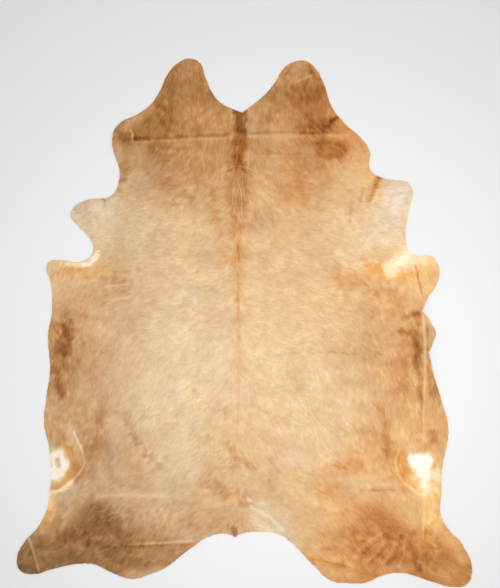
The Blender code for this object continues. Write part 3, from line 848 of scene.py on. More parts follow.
@dataclass(frozen=True)
class Markings:
    """The colour plan of the coat: broad zones, marks, some of them painted shade and highlights of folds,
    and mottling.

    Attributes:
        zones: Broad tones of the body.
        marks: Marks drawn on them, in order.
        mottles: Layers of mottling over all of it.
        depth: Gain of the mottling on the darkest parts.
        depth_tone: Tone under which that gain sets in.
        depth_range: Fall in tone over which it grows to its full strength.
        ragged_width: Width above which the unevenness of an edge grows no more, in millimetres.
    """

    zones: tuple[Zone, ...] = ZONES
    marks: tuple[Mark, ...] = MARKS
    mottles: tuple[Mottle, ...] = MOTTLES
    depth: float = 0.8
    depth_tone: float = 0.74
    depth_range: float = 0.22
    ragged_width: float = 36.0

    def broad(self, chart: Chart) -> tuple[np.ndarray, np.ndarray]:
        """Blends the zones.

        Args:
            chart: The cells.

        Returns:
            The tone and the warmth of every cell.
        """
        tone = np.zeros((chart.rows, chart.columns))
        warmth = np.zeros_like(tone)
        total = np.full_like(tone, MICRO)
        for zone in self.zones:
            log.debug("zone: %s", zone.name)
            weight = chart.nearness(zone.spots, zone.reach)
            tone += weight * zone.tone
            warmth += weight * zone.warmth
            total += weight
        return tone / total, warmth / total

    @staticmethod
    def distance(x: np.ndarray, y: np.ndarray, route: tuple[Spot, ...]) -> np.ndarray:
        """Measures how far places are from a route.

        Args:
            x: Places across the hide.
            y: Places along the hide.
            route: Points of the route, in millimetres.

        Returns:
            The distance of each place, in metres.
        """
        nearest = np.full_like(x, np.inf)
        for start, end in zip(route, route[1:]):
            run = (end[0] - start[0]) * MM
            rise = (end[1] - start[1]) * MM
            to_x = x - start[0] * MM
            to_y = y - start[1] * MM
            share = np.clip((to_x * run + to_y * rise) / (run**2 + rise**2), 0, 1)
            nearest = np.minimum(nearest, np.hypot(to_x - share * run, to_y - share * rise))
        return nearest

    @staticmethod
    def window(chart: Chart, mark: Mark) -> tuple[slice, ...]:
        """Finds the part of the plan that a mark can touch.

        Args:
            chart: The cells.
            mark: The mark.

        Returns:
            The rows and the columns.
        """
        spare = mark.width * (1 + 2 * mark.ragged) * MM
        parts = []
        for axis, edge in ((1, chart.low_y), (0, chart.low_x)):
            along = [spot[axis] for spot in mark.route]
            low = min(along) * MM - spare - edge
            high = max(along) * MM + spare - edge
            parts.append(slice(max(0, int(low / chart.pitch)), int(high / chart.pitch) + 1))
        return tuple(parts)

    def draw(self, chart: Chart, lie: Lie) -> Plan:
        """Draws the whole colour plan.

        Args:
            chart: The cells.
            lie: Direction of the hair.

        Returns:
            The plan.
        """
        tone, warmth = self.broad(chart)
        layers = [mottle.layer(chart, lie) for mottle in self.mottles]
        rough = np.zeros_like(tone)
        speckle = np.zeros_like(tone)
        for mottle, layer in zip(self.mottles, layers):
            rough += mottle.edge * layer
            speckle += mottle.tone * layer
        x, y = chart.places()
        for mark in self.marks:
            log.debug("mark: %s", mark.name)
            part = self.window(chart, mark)
            gap = self.distance(x[part], y[part], mark.route) / (mark.width / 2 * MM)
            reach = gap + 2 * mark.ragged * min(1.0, self.ragged_width / mark.width) * rough[part]
            fade = np.clip((1 + mark.softness - reach) / (2 * mark.softness), 0, 1)
            strength = mark.cover * fade * fade * (3 - 2 * fade)
            if mark.lay is Lay.SHADE:
                tone[part] += strength * mark.tone
                warmth[part] += strength * mark.warmth
            else:
                tone[part] += strength * (mark.tone - tone[part])
                warmth[part] += strength * (mark.warmth - warmth[part])
        tone += speckle * (1 + self.depth * np.clip((self.depth_tone - tone) / self.depth_range, 0, 1))
        for mottle, layer in zip(self.mottles, layers):
            warmth += mottle.warmth * layer
        return Plan(chart, lie, tone, warmth)


# --- finishes ---------------------------------------------------------------------------------------------


def own_colour(seen: Colour, level: float = 1.0) -> Paint:
    """Turns a colour as seen on a screen into a surface's own colour, by the sRGB curve.

    Args:
        seen: Red, green and blue from 0 to 255.
        level: Light on the surface.

    Returns:
        The linear colour with its alpha.
    """
    brightest = 0.96
    linear = []
    for channel in seen:
        share = channel / 255
        straight = share / 12.92 if share <= 0.04045 else ((share + 0.055) / 1.055) ** 2.4
        linear.append(min(straight / level, brightest))
    return (linear[0], linear[1], linear[2], 1.0)


TONES = (0.300, 0.382, 0.441, 0.500, 0.559, 0.618, 0.676, 0.735, 0.794, 0.853, 0.912, 0.970)


@dataclass(frozen=True)
class TintScale:
    """The colours that one sort of hair takes from dark to light.

    Attributes:
        warmth: Warmth of this sort of hair.
        colours: Screen colour at each of the tones.
        tones: The tones.
        level: Light that falls on the hide, by which a seen colour is divided for its own colour.
    """

    warmth: float
    colours: tuple[Colour, ...]
    tones: tuple[float, ...] = TONES
    level: float = 1.01

    def ramp(self) -> list[tuple[float, Paint]]:
        """Returns the tones with the linear colours of the hair itself."""
        return [(tone, own_colour(colour, self.level)) for tone, colour in zip(self.tones, self.colours)]


ASH_HAIR = TintScale(
    -2.8,
    (
        (100, 62, 22), (124, 88, 42), (139, 104, 58), (157, 120, 74), (171, 137, 95), (185, 154, 115),
        (196, 171, 137), (208, 187, 155), (220, 202, 175), (234, 214, 194), (246, 230, 216), (252, 248, 243),
    ),
)
GOLD_HAIR = TintScale(
    3.1,
    (
        (127, 60, 4), (156, 85, 10), (174, 100, 22), (193, 115, 35), (207, 130, 53), (219, 147, 74),
        (229, 165, 93), (237, 183, 112), (244, 201, 128), (250, 218, 155), (255, 234, 182), (255, 250, 222),
    ),
)
STRAW_HAIR = TintScale(
    6.0,
    (
        (110, 70, 8), (137, 91, 20), (156, 107, 30), (173, 122, 40), (189, 138, 54), (204, 153, 68),
        (218, 168, 84), (230, 185, 104), (242, 200, 122), (249, 217, 150), (254, 233, 184), (255, 249, 222),
    ),
)


class Value:
    """A number in a material, on which arithmetic adds Math nodes."""

    def __init__(self, graph: Graph, socket: bpy.types.NodeSocket) -> None:
        """Wraps an output socket of a graph."""
        self.graph = graph
        self.socket = socket

    def math(self, operation: str, first: Value | float, second: Value | float) -> Value:
        """Adds one Math node.

        Args:
            operation: The node's operation.
            first: First number.
            second: Second number.

        Returns:
            The result.
        """
        inputs = {"Value": first, "Value_001": second}
        node = self.graph.add("ShaderNodeMath", {"operation": operation}, inputs)
        return Value(self.graph, node.outputs["Value"])

    def __add__(self, other: Value | float) -> Value:
        """Adds."""
        return self.math("ADD", self, other)

    def __radd__(self, other: float) -> Value:
        """Adds to a plain number."""
        return self.math("ADD", other, self)

    def __sub__(self, other: Value | float) -> Value:
        """Subtracts."""
        return self.math("SUBTRACT", self, other)

    def __mul__(self, other: Value | float) -> Value:
        """Multiplies."""
        return self.math("MULTIPLY", self, other)

    def __rmul__(self, other: float) -> Value:
        """Multiplies a plain number."""
        return self.math("MULTIPLY", other, self)


class Graph:
    """The nodes of one material, ending in a Principled BSDF."""

    def __init__(self, name: str) -> None:
        """Starts an empty material with an output.

        Args:
            name: Name of the material.
        """
        self.material = bpy.data.materials.new(name)
        self.material.use_nodes = True
        self.tree = self.material.node_tree
        self.tree.nodes.clear()
        self.output = self.add("ShaderNodeOutputMaterial")

    def add(self, kind: str, settings: dict | None = None, inputs: dict | None = None) -> bpy.types.Node:
        """Adds a node.

        Args:
            kind: The node's type.
            settings: Its properties; stops are those of a colour ramp.
            inputs: Its sockets by identifier or name, each with a value or a link.

        Returns:
            The node.
        """
        node = self.tree.nodes.new(kind)
        for name, setting in (settings or {}).items():
            if name == "stops":
                self.set_stops(node, setting)
            else:
                setattr(node, name, setting)
        for key, given in (inputs or {}).items():
            self.feed(self.find(node.inputs, key), given)
        return node

    @staticmethod
    def set_stops(node: bpy.types.Node, stops: list[tuple[float, Paint]]) -> None:
        """Gives a colour ramp its stops.

        Args:
            node: The colour ramp.
            stops: Place and colour of every stop.
        """
        elements = node.color_ramp.elements
        while len(elements) < len(stops):
            elements.new(HALF)
        for element, (place, colour) in zip(elements, stops):
            element.position = place
            element.color = colour

    @staticmethod
    def find(sockets: bpy.types.bpy_prop_collection, key: str) -> bpy.types.NodeSocket:
        """Finds a socket by its identifier, or else by its name."""
        return next((socket for socket in sockets if socket.identifier == key), None) or sockets[key]

    def feed(self, socket: bpy.types.NodeSocket, given: object) -> None:
        """Links a socket, or sets its value.

        Args:
            socket: The input socket.
            given: A value of the graph, an output socket or a plain value.
        """
        if isinstance(given, Value):
            self.tree.links.new(given.socket, socket)
        elif isinstance(given, bpy.types.NodeSocket):
            self.tree.links.new(given, socket)
        else:
            socket.default_value = given

    def attribute(self, name: str) -> Value:
        """Reads a number that the mesh holds."""
        node = self.add("ShaderNodeAttribute", {"attribute_name": name})
        return Value(self, node.outputs["Fac"])

    def noise(self, scale: float, detail: float = 3.0, roughness: float = 0.55) -> Value:
        """Adds noise on the object's own coordinates.

        Args:
            scale: Patches per metre.
            detail: Number of finer layers.
            roughness: Strength of the finer layers.

        Returns:
            The noise, from 0 to 1.
        """
        place = self.add("ShaderNodeTexCoord").outputs["Object"]
        inputs = {"Vector": place, "Scale": scale, "Detail": detail, "Roughness": roughness}
        return Value(self, self.add("ShaderNodeTexNoise", None, inputs).outputs["Fac"])

    def ramp(self, number: Value, stops: list[tuple[float, Paint]]) -> bpy.types.NodeSocket:
        """Turns a number into a colour by a ramp."""
        return self.add("ShaderNodeValToRGB", {"stops": stops}, {"Fac": number}).outputs["Color"]

    def mix(self, share: Value, first: object, second: object) -> bpy.types.NodeSocket:
        """Mixes two colours.

        Args:
            share: Share of the second colour.
            first: First colour.
            second: Second colour.

        Returns:
            The mixed colour.
        """
        inputs = {"Factor_Float": share, "A_Color": first, "B_Color": second}
        node = self.add("ShaderNodeMix", {"data_type": "RGBA"}, inputs)
        return self.find(node.outputs, "Result_Color")

    def bump(self, height: Value, strength: float, distance: float) -> bpy.types.NodeSocket:
        """Turns a height into a normal."""
        inputs = {"Height": height, "Strength": strength, "Distance": distance}
        return self.add("ShaderNodeBump", None, inputs).outputs["Normal"]

    def finish(self, surface: dict) -> bpy.types.Material:
        """Adds the Principled BSDF and joins it to the output.

        Args:
            surface: Its sockets, each with a value or a link.

        Returns:
            The material.
        """
        shader = self.add("ShaderNodeBsdfPrincipled", None, surface)
        self.tree.links.new(shader.outputs["BSDF"], self.output.inputs["Surface"])
        return self.material


def hair_colour(graph: Graph, tone: Value, warmth: Value) -> bpy.types.NodeSocket:
    """Colours hair from the ashen over the golden to the straw-yellow scale.

    Args:
        graph: The material's nodes.
        tone: Lightness from 0 to 1.
        warmth: From ashen over golden to straw-yellow.

    Returns:
        The colour.
    """
    colour = graph.ramp(tone, ASH_HAIR.ramp())
    for cooler, warmer in ((ASH_HAIR, GOLD_HAIR), (GOLD_HAIR, STRAW_HAIR)):
        share = (warmth - cooler.warmth) * (1 / (warmer.warmth - cooler.warmth))
        colour = graph.mix(share, colour, graph.ramp(tone, warmer.ramp()))
    return colour


@dataclass(frozen=True)
class HairFinish:
    """The short, slightly glossy hair of the coat.

    Attributes:
        lock_tone: Difference in tone between one lock and the next.
        tip_tone: Gain in tone from root to tip.
        even_place: Place along a lock at which that gain is nothing.
        split_tone: Difference in tone between the hairs of a lock.
        roughness: Roughness of the hair.
        roughness_spread: Difference in roughness between locks.
    """

    lock_tone: float = 0.045
    tip_tone: float = 0.03
    even_place: float = 0.6
    split_tone: float = 0.05
    roughness: float = 0.52
    roughness_spread: float = 0.16

    def material(self) -> bpy.types.Material:
        """Builds the material of the locks.

        Returns:
            The material.
        """
        graph = Graph("coat_hair")
        strand = graph.attribute("strand") - HALF
        along = graph.attribute("along") - self.even_place
        split = graph.noise(scale=900.0, detail=2.0)
        tone = graph.attribute("tone") + strand * self.lock_tone + along * self.tip_tone
        tone = tone + (split - HALF) * self.split_tone
        surface = {
            "Base Color": hair_colour(graph, tone, graph.attribute("warmth")),
            "Roughness": self.roughness + strand * self.roughness_spread,
            "Normal": graph.bump(split, strength=0.25, distance=0.0004),
            "Specular IOR Level": 0.35,
            "Sheen Weight": 0.10,
            "Sheen Roughness": 0.45,
            "Sheen Tint": (1.0, 0.93, 0.82, 1.0),
        }
        return graph.finish(surface)


@dataclass(frozen=True)
class UnderHairFinish:
    """The matt underhair on the leather, seen between the locks.

    Attributes:
        shadow: Fall in tone under the locks.
        fibre_tone: Difference in tone between fibres.
        roughness: Roughness of the underhair.
        roughness_spread: Difference in roughness between fibres.
    """

    shadow: float = 0.02
    fibre_tone: float = 0.10
    roughness: float = 0.75
    roughness_spread: float = 0.2

    def material(self) -> bpy.types.Material:
        """Builds the material of the leather's hair side.

        Returns:
            The material.
        """
        graph = Graph("under_hair")
        noise = graph.noise(scale=420.0, detail=4.0)
        fibre = noise - HALF
        tone = graph.attribute("tone") + fibre * self.fibre_tone - self.shadow
        surface = {
            "Base Color": hair_colour(graph, tone, graph.attribute("warmth")),
            "Roughness": self.roughness + fibre * self.roughness_spread,
            "Normal": graph.bump(noise, strength=0.5, distance=0.0008),
            "Specular IOR Level": 0.3,
        }
        return graph.finish(surface)


@dataclass(frozen=True)
class LeatherFinish:
    """A bare, matt side of the leather.

    Attributes:
        name: Name of the material.
        dark: Colour of its darkest patches.
        pale: Colour of its palest patches.
        fibres: Fibres per metre.
        patches: Patches per metre.
        patch_detail: Number of finer layers in the patches.
        patch_roughness: Strength of those layers.
        patch_share: Share of the patches in the mottling.
        roughness: Roughness of the side.
        roughness_spread: Difference in roughness between fibres.
        bump: Strength of the fibres' relief.
        bump_height: Height of that relief.
        gloss: Level of its specular light.
    """

    name: str
    dark: Colour
    pale: Colour
    fibres: float
    patches: float
    patch_detail: float
    patch_roughness: float
    patch_share: float
    roughness: float
    roughness_spread: float
    bump: float
    bump_height: float
    gloss: float

    def material(self) -> bpy.types.Material:
        """Builds the material of the side.

        Returns:
            The material.
        """
        graph = Graph(self.name)
        patch = graph.noise(self.patches, self.patch_detail, self.patch_roughness)
        fibre = graph.noise(self.fibres)
        share = self.patch_share * patch + (1 - self.patch_share) * fibre
        surface = {
            "Base Color": graph.mix(share, own_colour(self.dark), own_colour(self.pale)),
            "Roughness": self.roughness + (fibre - HALF) * self.roughness_spread,
            "Normal": graph.bump(fibre, self.bump, self.bump_height),
            "Specular IOR Level": self.gloss,
        }
        return graph.finish(surface)


SUEDE = LeatherFinish(
    name="leather_suede",
    dark=(190, 168, 138),
    pale=(222, 206, 182),
    fibres=650.0,
    patches=9.0,
    patch_detail=5.0,
    patch_roughness=0.6,
    patch_share=0.65,
    roughness=0.9,
    roughness_spread=0.12,
    bump=0.6,
    bump_height=0.0006,
    gloss=0.2,
)
CUT_EDGE = LeatherFinish(
    name="leather_cut_edge",
    dark=(196, 160, 116),
    pale=(232, 214, 184),
    fibres=1400.0,
    patches=35.0,
    patch_detail=3.0,
    patch_roughness=0.55,
    patch_share=0.5,
    roughness=0.72,
    roughness_spread=0.2,
    bump=0.4,
    bump_height=0.0004,
    gloss=0.3,
)


@dataclass(frozen=True)
class FloorFinish:
    """The plain, pale, matt floor.

    Attributes:
        colour: Colour of the floor.
        dimming: How many times less light a shaded patch shows than a pale one.
    """

    colour: Colour = (229, 229, 230)
    dimming: float = 1.02

    def material(self) -> bpy.types.Material:
        """Builds the material of the floor.

        Returns:
            The material.
        """
        graph = Graph("pale_floor")
        cloud = graph.noise(scale=0.8, detail=2.0)
        surface = {
            "Base Color": graph.mix(cloud, own_colour(self.colour, self.dimming), own_colour(self.colour)),
            "Roughness": 0.8,
            "Specular IOR Level": 0.15,
        }
        return graph.finish(surface)


# --- the hide ---------------------------------------------------------------------------------------------


def add_object(name: str, data: bpy.types.ID) -> bpy.types.Object:
    """Makes an object of its data and puts it in the scene.

    Args:
        name: Name of the object.
        data: Its mesh, lamp or camera.

    Returns:
        The object.
    """
    made = bpy.data.objects.new(name, data)
    bpy.context.scene.collection.objects.link(made)
    return made


def add_number(mesh: bpy.types.Mesh, name: str, values: np.ndarray) -> None:
    """Stores one number for each vertex of a mesh."""
    layer = mesh.attributes.new(name, "FLOAT", "POINT")
    layer.data.foreach_set("value", np.ascontiguousarray(values, np.float32))


@dataclass
class Leather:
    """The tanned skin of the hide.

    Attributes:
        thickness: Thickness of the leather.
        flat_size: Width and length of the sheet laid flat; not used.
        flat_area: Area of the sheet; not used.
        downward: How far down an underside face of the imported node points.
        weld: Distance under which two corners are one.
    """

    thickness: float = 0.003
    flat_size: tuple[float, float] = (2.22, 2.58)
    flat_area: float = 4.0
    downward: float = -0.25
    weld: float = 0.00005

    def build(self, source: bpy.types.Object, plan: Plan) -> bpy.types.Object:
        """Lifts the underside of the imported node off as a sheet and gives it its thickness.

        Args:
            source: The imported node.
            plan: The colour plan.

        Returns:
            The leather.
        """
        bm = bmesh.new()
        bm.from_mesh(source.data)
        bmesh.ops.remove_doubles(bm, verts=bm.verts, dist=self.weld)
        bm.normal_update()
        others = [face for face in bm.faces if face.normal.z > self.downward]
        bmesh.ops.delete(bm, geom=others, context="FACES")
        strays = [face for face in bm.faces if all(edge.is_boundary for edge in face.edges)]
        bmesh.ops.delete(bm, geom=strays, context="FACES")
        bmesh.ops.reverse_faces(bm, faces=bm.faces)
        mesh = bpy.data.meshes.new("leather")
        bm.to_mesh(mesh)
        bm.free()
        mesh.shade_smooth()
        x, y, _ = np.array([vertex.co for vertex in mesh.vertices]).T
        add_number(mesh, "tone", plan.chart.sample(plan.tone, x, y))
        add_number(mesh, "warmth", plan.chart.sample(plan.warmth, x, y))
        for finish in (UnderHairFinish(), SUEDE, CUT_EDGE):
            mesh.materials.append(finish.material())
        piece = add_object("leather", mesh)
        finer = piece.modifiers.new("finer_faces", "SUBSURF")
        finer.subdivision_type = "SIMPLE"
        finer.levels = 1
        finer.render_levels = 1
        wall = piece.modifiers.new("skin_thickness", "SOLIDIFY")
        wall.thickness = self.thickness
        wall.offset = 1.0
        wall.material_offset = 1
        wall.material_offset_rim = 2
        return piece

    def declare(self, piece: bpy.types.Object, coat: list[bpy.types.Object]) -> None:
        """Hides the imported node, which the leather and the coat replace."""
        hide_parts(HIDE)


@dataclass
class Relief:
    """The height of the leather over the plan, and where there is leather.

    Attributes:
        height: Height of the hair side in each cell, carried on past the edge.
        cover: 1 in a cell on the leather and 0 in others.
    """

    height: np.ndarray
    cover: np.ndarray

    @classmethod
    def measure(
        cls,
        leather: bpy.types.Object,
        chart: Chart,
        carry: float = 0.02,
        soft: float = 0.004,
        kept: float = 0.9,
    ) -> Relief:
        """Drops a plumb line on the leather in every cell.

        Args:
            leather: The leather.
            chart: The cells.
            carry: How far the height is carried past the edge.
            soft: Radius over which the coat rounds the folds off.
            kept: Share of the height that the rounding leaves everywhere.

        Returns:
            The relief.
        """
        surface = BVHTree.FromObject(leather, bpy.context.evaluated_depsgraph_get())
        x, y = chart.places()
        height = np.zeros(x.shape)
        cover = np.zeros(x.shape)
        down = Vector((0, 0, -1))
        above = 1.0
        for cell in np.ndindex(x.shape):
            hit = surface.ray_cast(Vector((x[cell], y[cell], above)), down)[0]
            if hit is not None:
                height[cell] = hit.z
                cover[cell] = 1.0
        beyond = chart.blur(height * cover, carry) / np.maximum(chart.blur(cover, carry), MICRO)
        height = np.where(cover > 0, height, np.clip(beyond, 0, height.max()))
        return cls(np.maximum(chart.blur(height, soft), kept * height), cover)


@dataclass(frozen=True)
class Locks:
    """Many locks of hair, one number of each kind for every lock.

    Attributes:
        x: Roots across the hide.
        y: Roots along the hide.
        turn: Directions, as angles from +X.
        length: Lengths.
        width: Widths at the root.
        rise: Rise of the back over the sides.
        root_lift: Heights of the roots over the leather.
        tip_lift: Heights of the tips over the leather.
    """

    x: np.ndarray
    y: np.ndarray
    turn: np.ndarray
    length: np.ndarray
    width: np.ndarray
    rise: np.ndarray
    root_lift: np.ndarray
    tip_lift: np.ndarray


@dataclass(frozen=True)
class Rows:
    """How single locks are planted in rows.

    Attributes:
        step: Distance between the locks of a row.
        length: Length of a lock.
        width: Width of a lock.
        rise: Rise of the back of a lock over its sides.
        lift: Height of the tip over the root.
        gain: Gain in tone over the coat.
        gaps: Share of the locks that are missing.
        stray: Spread of a lock's direction, in radians.
        spread: Least and greatest share of the length and the width.
        root_lift: Height of the root over the leather.
    """

    step: float
    length: float
    width: float
    rise: float
    lift: float
    gain: float
    gaps: float = 0.1
    stray: float = 0.08
    spread: tuple[float, float] = (0.8, 1.2)
    root_lift: float = 0.0018

    def plant(self, lines: Sequence[np.ndarray], rng: np.random.Generator) -> Locks:
        """Plants a row of locks along every line.

        Args:
            lines: The points of every line, in the order in which the hair lies.
            rng: Source of randomness.

        Returns:
            The locks.
        """
        roots = []
        for points in lines:
            run = np.concatenate(([0.0], np.cumsum(np.hypot(*np.diff(points, axis=0).T))))
            places = np.arange(0.0, run[-1], self.step)
            x = np.interp(places, run, points[:, 0])
            y = np.interp(places, run, points[:, 1])
            turn = np.arctan2(np.gradient(y), np.gradient(x))
            roots.append(np.stack((x, y, turn), 1)[rng.random(len(places)) > self.gaps])
        x, y, turn = np.concatenate(roots).T
        count = len(x)
        turn = turn + self.stray * rng.standard_normal(count)
        length = self.length * rng.uniform(*self.spread, count)
        width = self.width * rng.uniform(*self.spread, count)
        low = np.full(count, self.root_lift)
        return Locks(x, y, turn, length, width, np.full(count, self.rise), low, low + self.lift)


@dataclass(frozen=True)
class WithersWrinkles:
    """Fine raised wrinkles of the skin over the withers, where the hair stands up in wavering rows; the hair
    on them is lightened as a painted highlight on their crests.

    Attributes:
        middle: Place of the band across the hide.
        front: Front end of the band.
        front_spread: How far behind it a wrinkle may start.
        rear: End at which the last wrinkle has faded out.
        rear_spread: How far before it a wrinkle may end.
        flare: How much sooner the outer wrinkles end, for their distance from the middle.
        taper: Share by which the band narrows towards its rear end.
        count: Number of wrinkles.
        spacing: Distance between wrinkles.
        sway: How far a wrinkle wavers.
        wave: Length over which it wavers.
        wave_spread: Least and greatest share of that length.
        phase: Turn of the wave from one wrinkle to the next, in radians.
        bend_seed: Seed of the bends that neighbours share.
        bend_size: Size of those bends.
        folds: Short folds across the front of the band, in millimetres.
        rows: How the hair stands along a wrinkle.
    """

    middle: float = -0.029
    front: float = 0.745
    front_spread: float = 0.05
    rear: float = 0.400
    rear_spread: float = 0.10
    flare: float = 2.6
    taper: float = 0.55
    count: int = 6
    spacing: float = 0.0130
    sway: float = 0.0028
    wave: float = 0.095
    wave_spread: tuple[float, float] = (0.8, 1.3)
    phase: float = 2.1
    bend_seed: int = 77
    bend_size: float = 0.014
    folds: tuple[tuple[Spot, ...], ...] = (
        ((-92, 746), (-60, 759), (-26, 764), (8, 759), (34, 746)),
        ((-90, 733), (-58, 737)),
        ((-86, 722), (-64, 727)),
        ((6, 741), (26, 733)),
    )
    # the gain lightens the hair on the wrinkles as a painted highlight on their crests
    rows: Rows = Rows(step=0.006, length=0.017, width=0.0030, rise=0.0010, lift=0.0024, gain=0.14)

    def plant(self, plan: Plan, rng: np.random.Generator) -> Locks:
        """Plants the hair along every wrinkle.

        Args:
            plan: The colour plan.
            rng: Source of randomness.

        Returns:
            The locks.
        """
        wander = plan.chart.grain(self.bend_seed, self.bend_size)
        lines = [np.array(fold) * MM for fold in self.folds]
        for number in range(self.count):
            aside = self.spacing * (number - (self.count - 1) / 2)
            rear = self.rear + self.flare * abs(aside) + self.rear_spread * rng.random()
            y = np.arange(self.front - self.front_spread * rng.random(), rear, -self.rows.step)
            closing = 1.0 - self.taper * (self.front - y) / (self.front - self.rear)
            bend = plan.chart.sample(wander, np.full_like(y, aside), y)
            wave = self.wave * rng.uniform(*self.wave_spread)
            swing = np.sin(2 * math.pi * y / wave + self.phase * number)
            x = self.middle + closing * aside + self.sway * (bend + swing)
            lines.append(np.stack((x, y), 1))
        return self.rows.plant(lines, rng)


@dataclass(frozen=True)
class BackWisps:
    """Long pale hairs that lie in slack curves over the back and the loin.

    Attributes:
        middle: Middle of the field in which they lie.
        reach: Half-sizes of the field.
        count: Number of wisps.
        span: Lengths of the shortest and the longest wisp.
        stray: Spread of their directions from the lie of the coat, in radians.
        curl: Spread of their curvature, per metre.
        rows: How the hair lies along a wisp.
    """

    middle: tuple[float, float] = (-0.02, -0.10)
    reach: tuple[float, float] = (0.46, 0.58)
    count: int = 150
    span: tuple[float, float] = (0.05, 0.13)
    stray: float = 0.55
    curl: float = 6.0
    rows: Rows = Rows(step=0.007, length=0.018, width=0.0024, rise=0.0006, lift=0.0018, gain=0.045, gaps=0.05)

    def plant(self, plan: Plan, rng: np.random.Generator) -> Locks:
        """Lays the wisps over the back.

        Args:
            plan: The colour plan.
            rng: Source of randomness.

        Returns:
            The locks.
        """
        lines = []
        for _ in range(self.count):
            out = math.sqrt(rng.random())
            angle = 2 * math.pi * rng.random()
            x = self.middle[0] + self.reach[0] * out * math.cos(angle)
            y = self.middle[1] + self.reach[1] * out * math.sin(angle)
            run = np.arange(0.0, rng.uniform(*self.span), self.rows.step)
            root = (np.array([x]), np.array([y]))
            across = plan.chart.sample(plan.lie.across, *root)[0]
            along = plan.chart.sample(plan.lie.along, *root)[0]
            way = math.atan2(along, across) + self.stray * rng.standard_normal()
            turns = way + self.curl * rng.standard_normal() * run
            path_x = x + self.rows.step * np.cumsum(np.cos(turns))
            path_y = y + self.rows.step * np.cumsum(np.sin(turns))
            lines.append(np.stack((path_x, path_y), 1))
        return self.rows.plant(lines, rng)


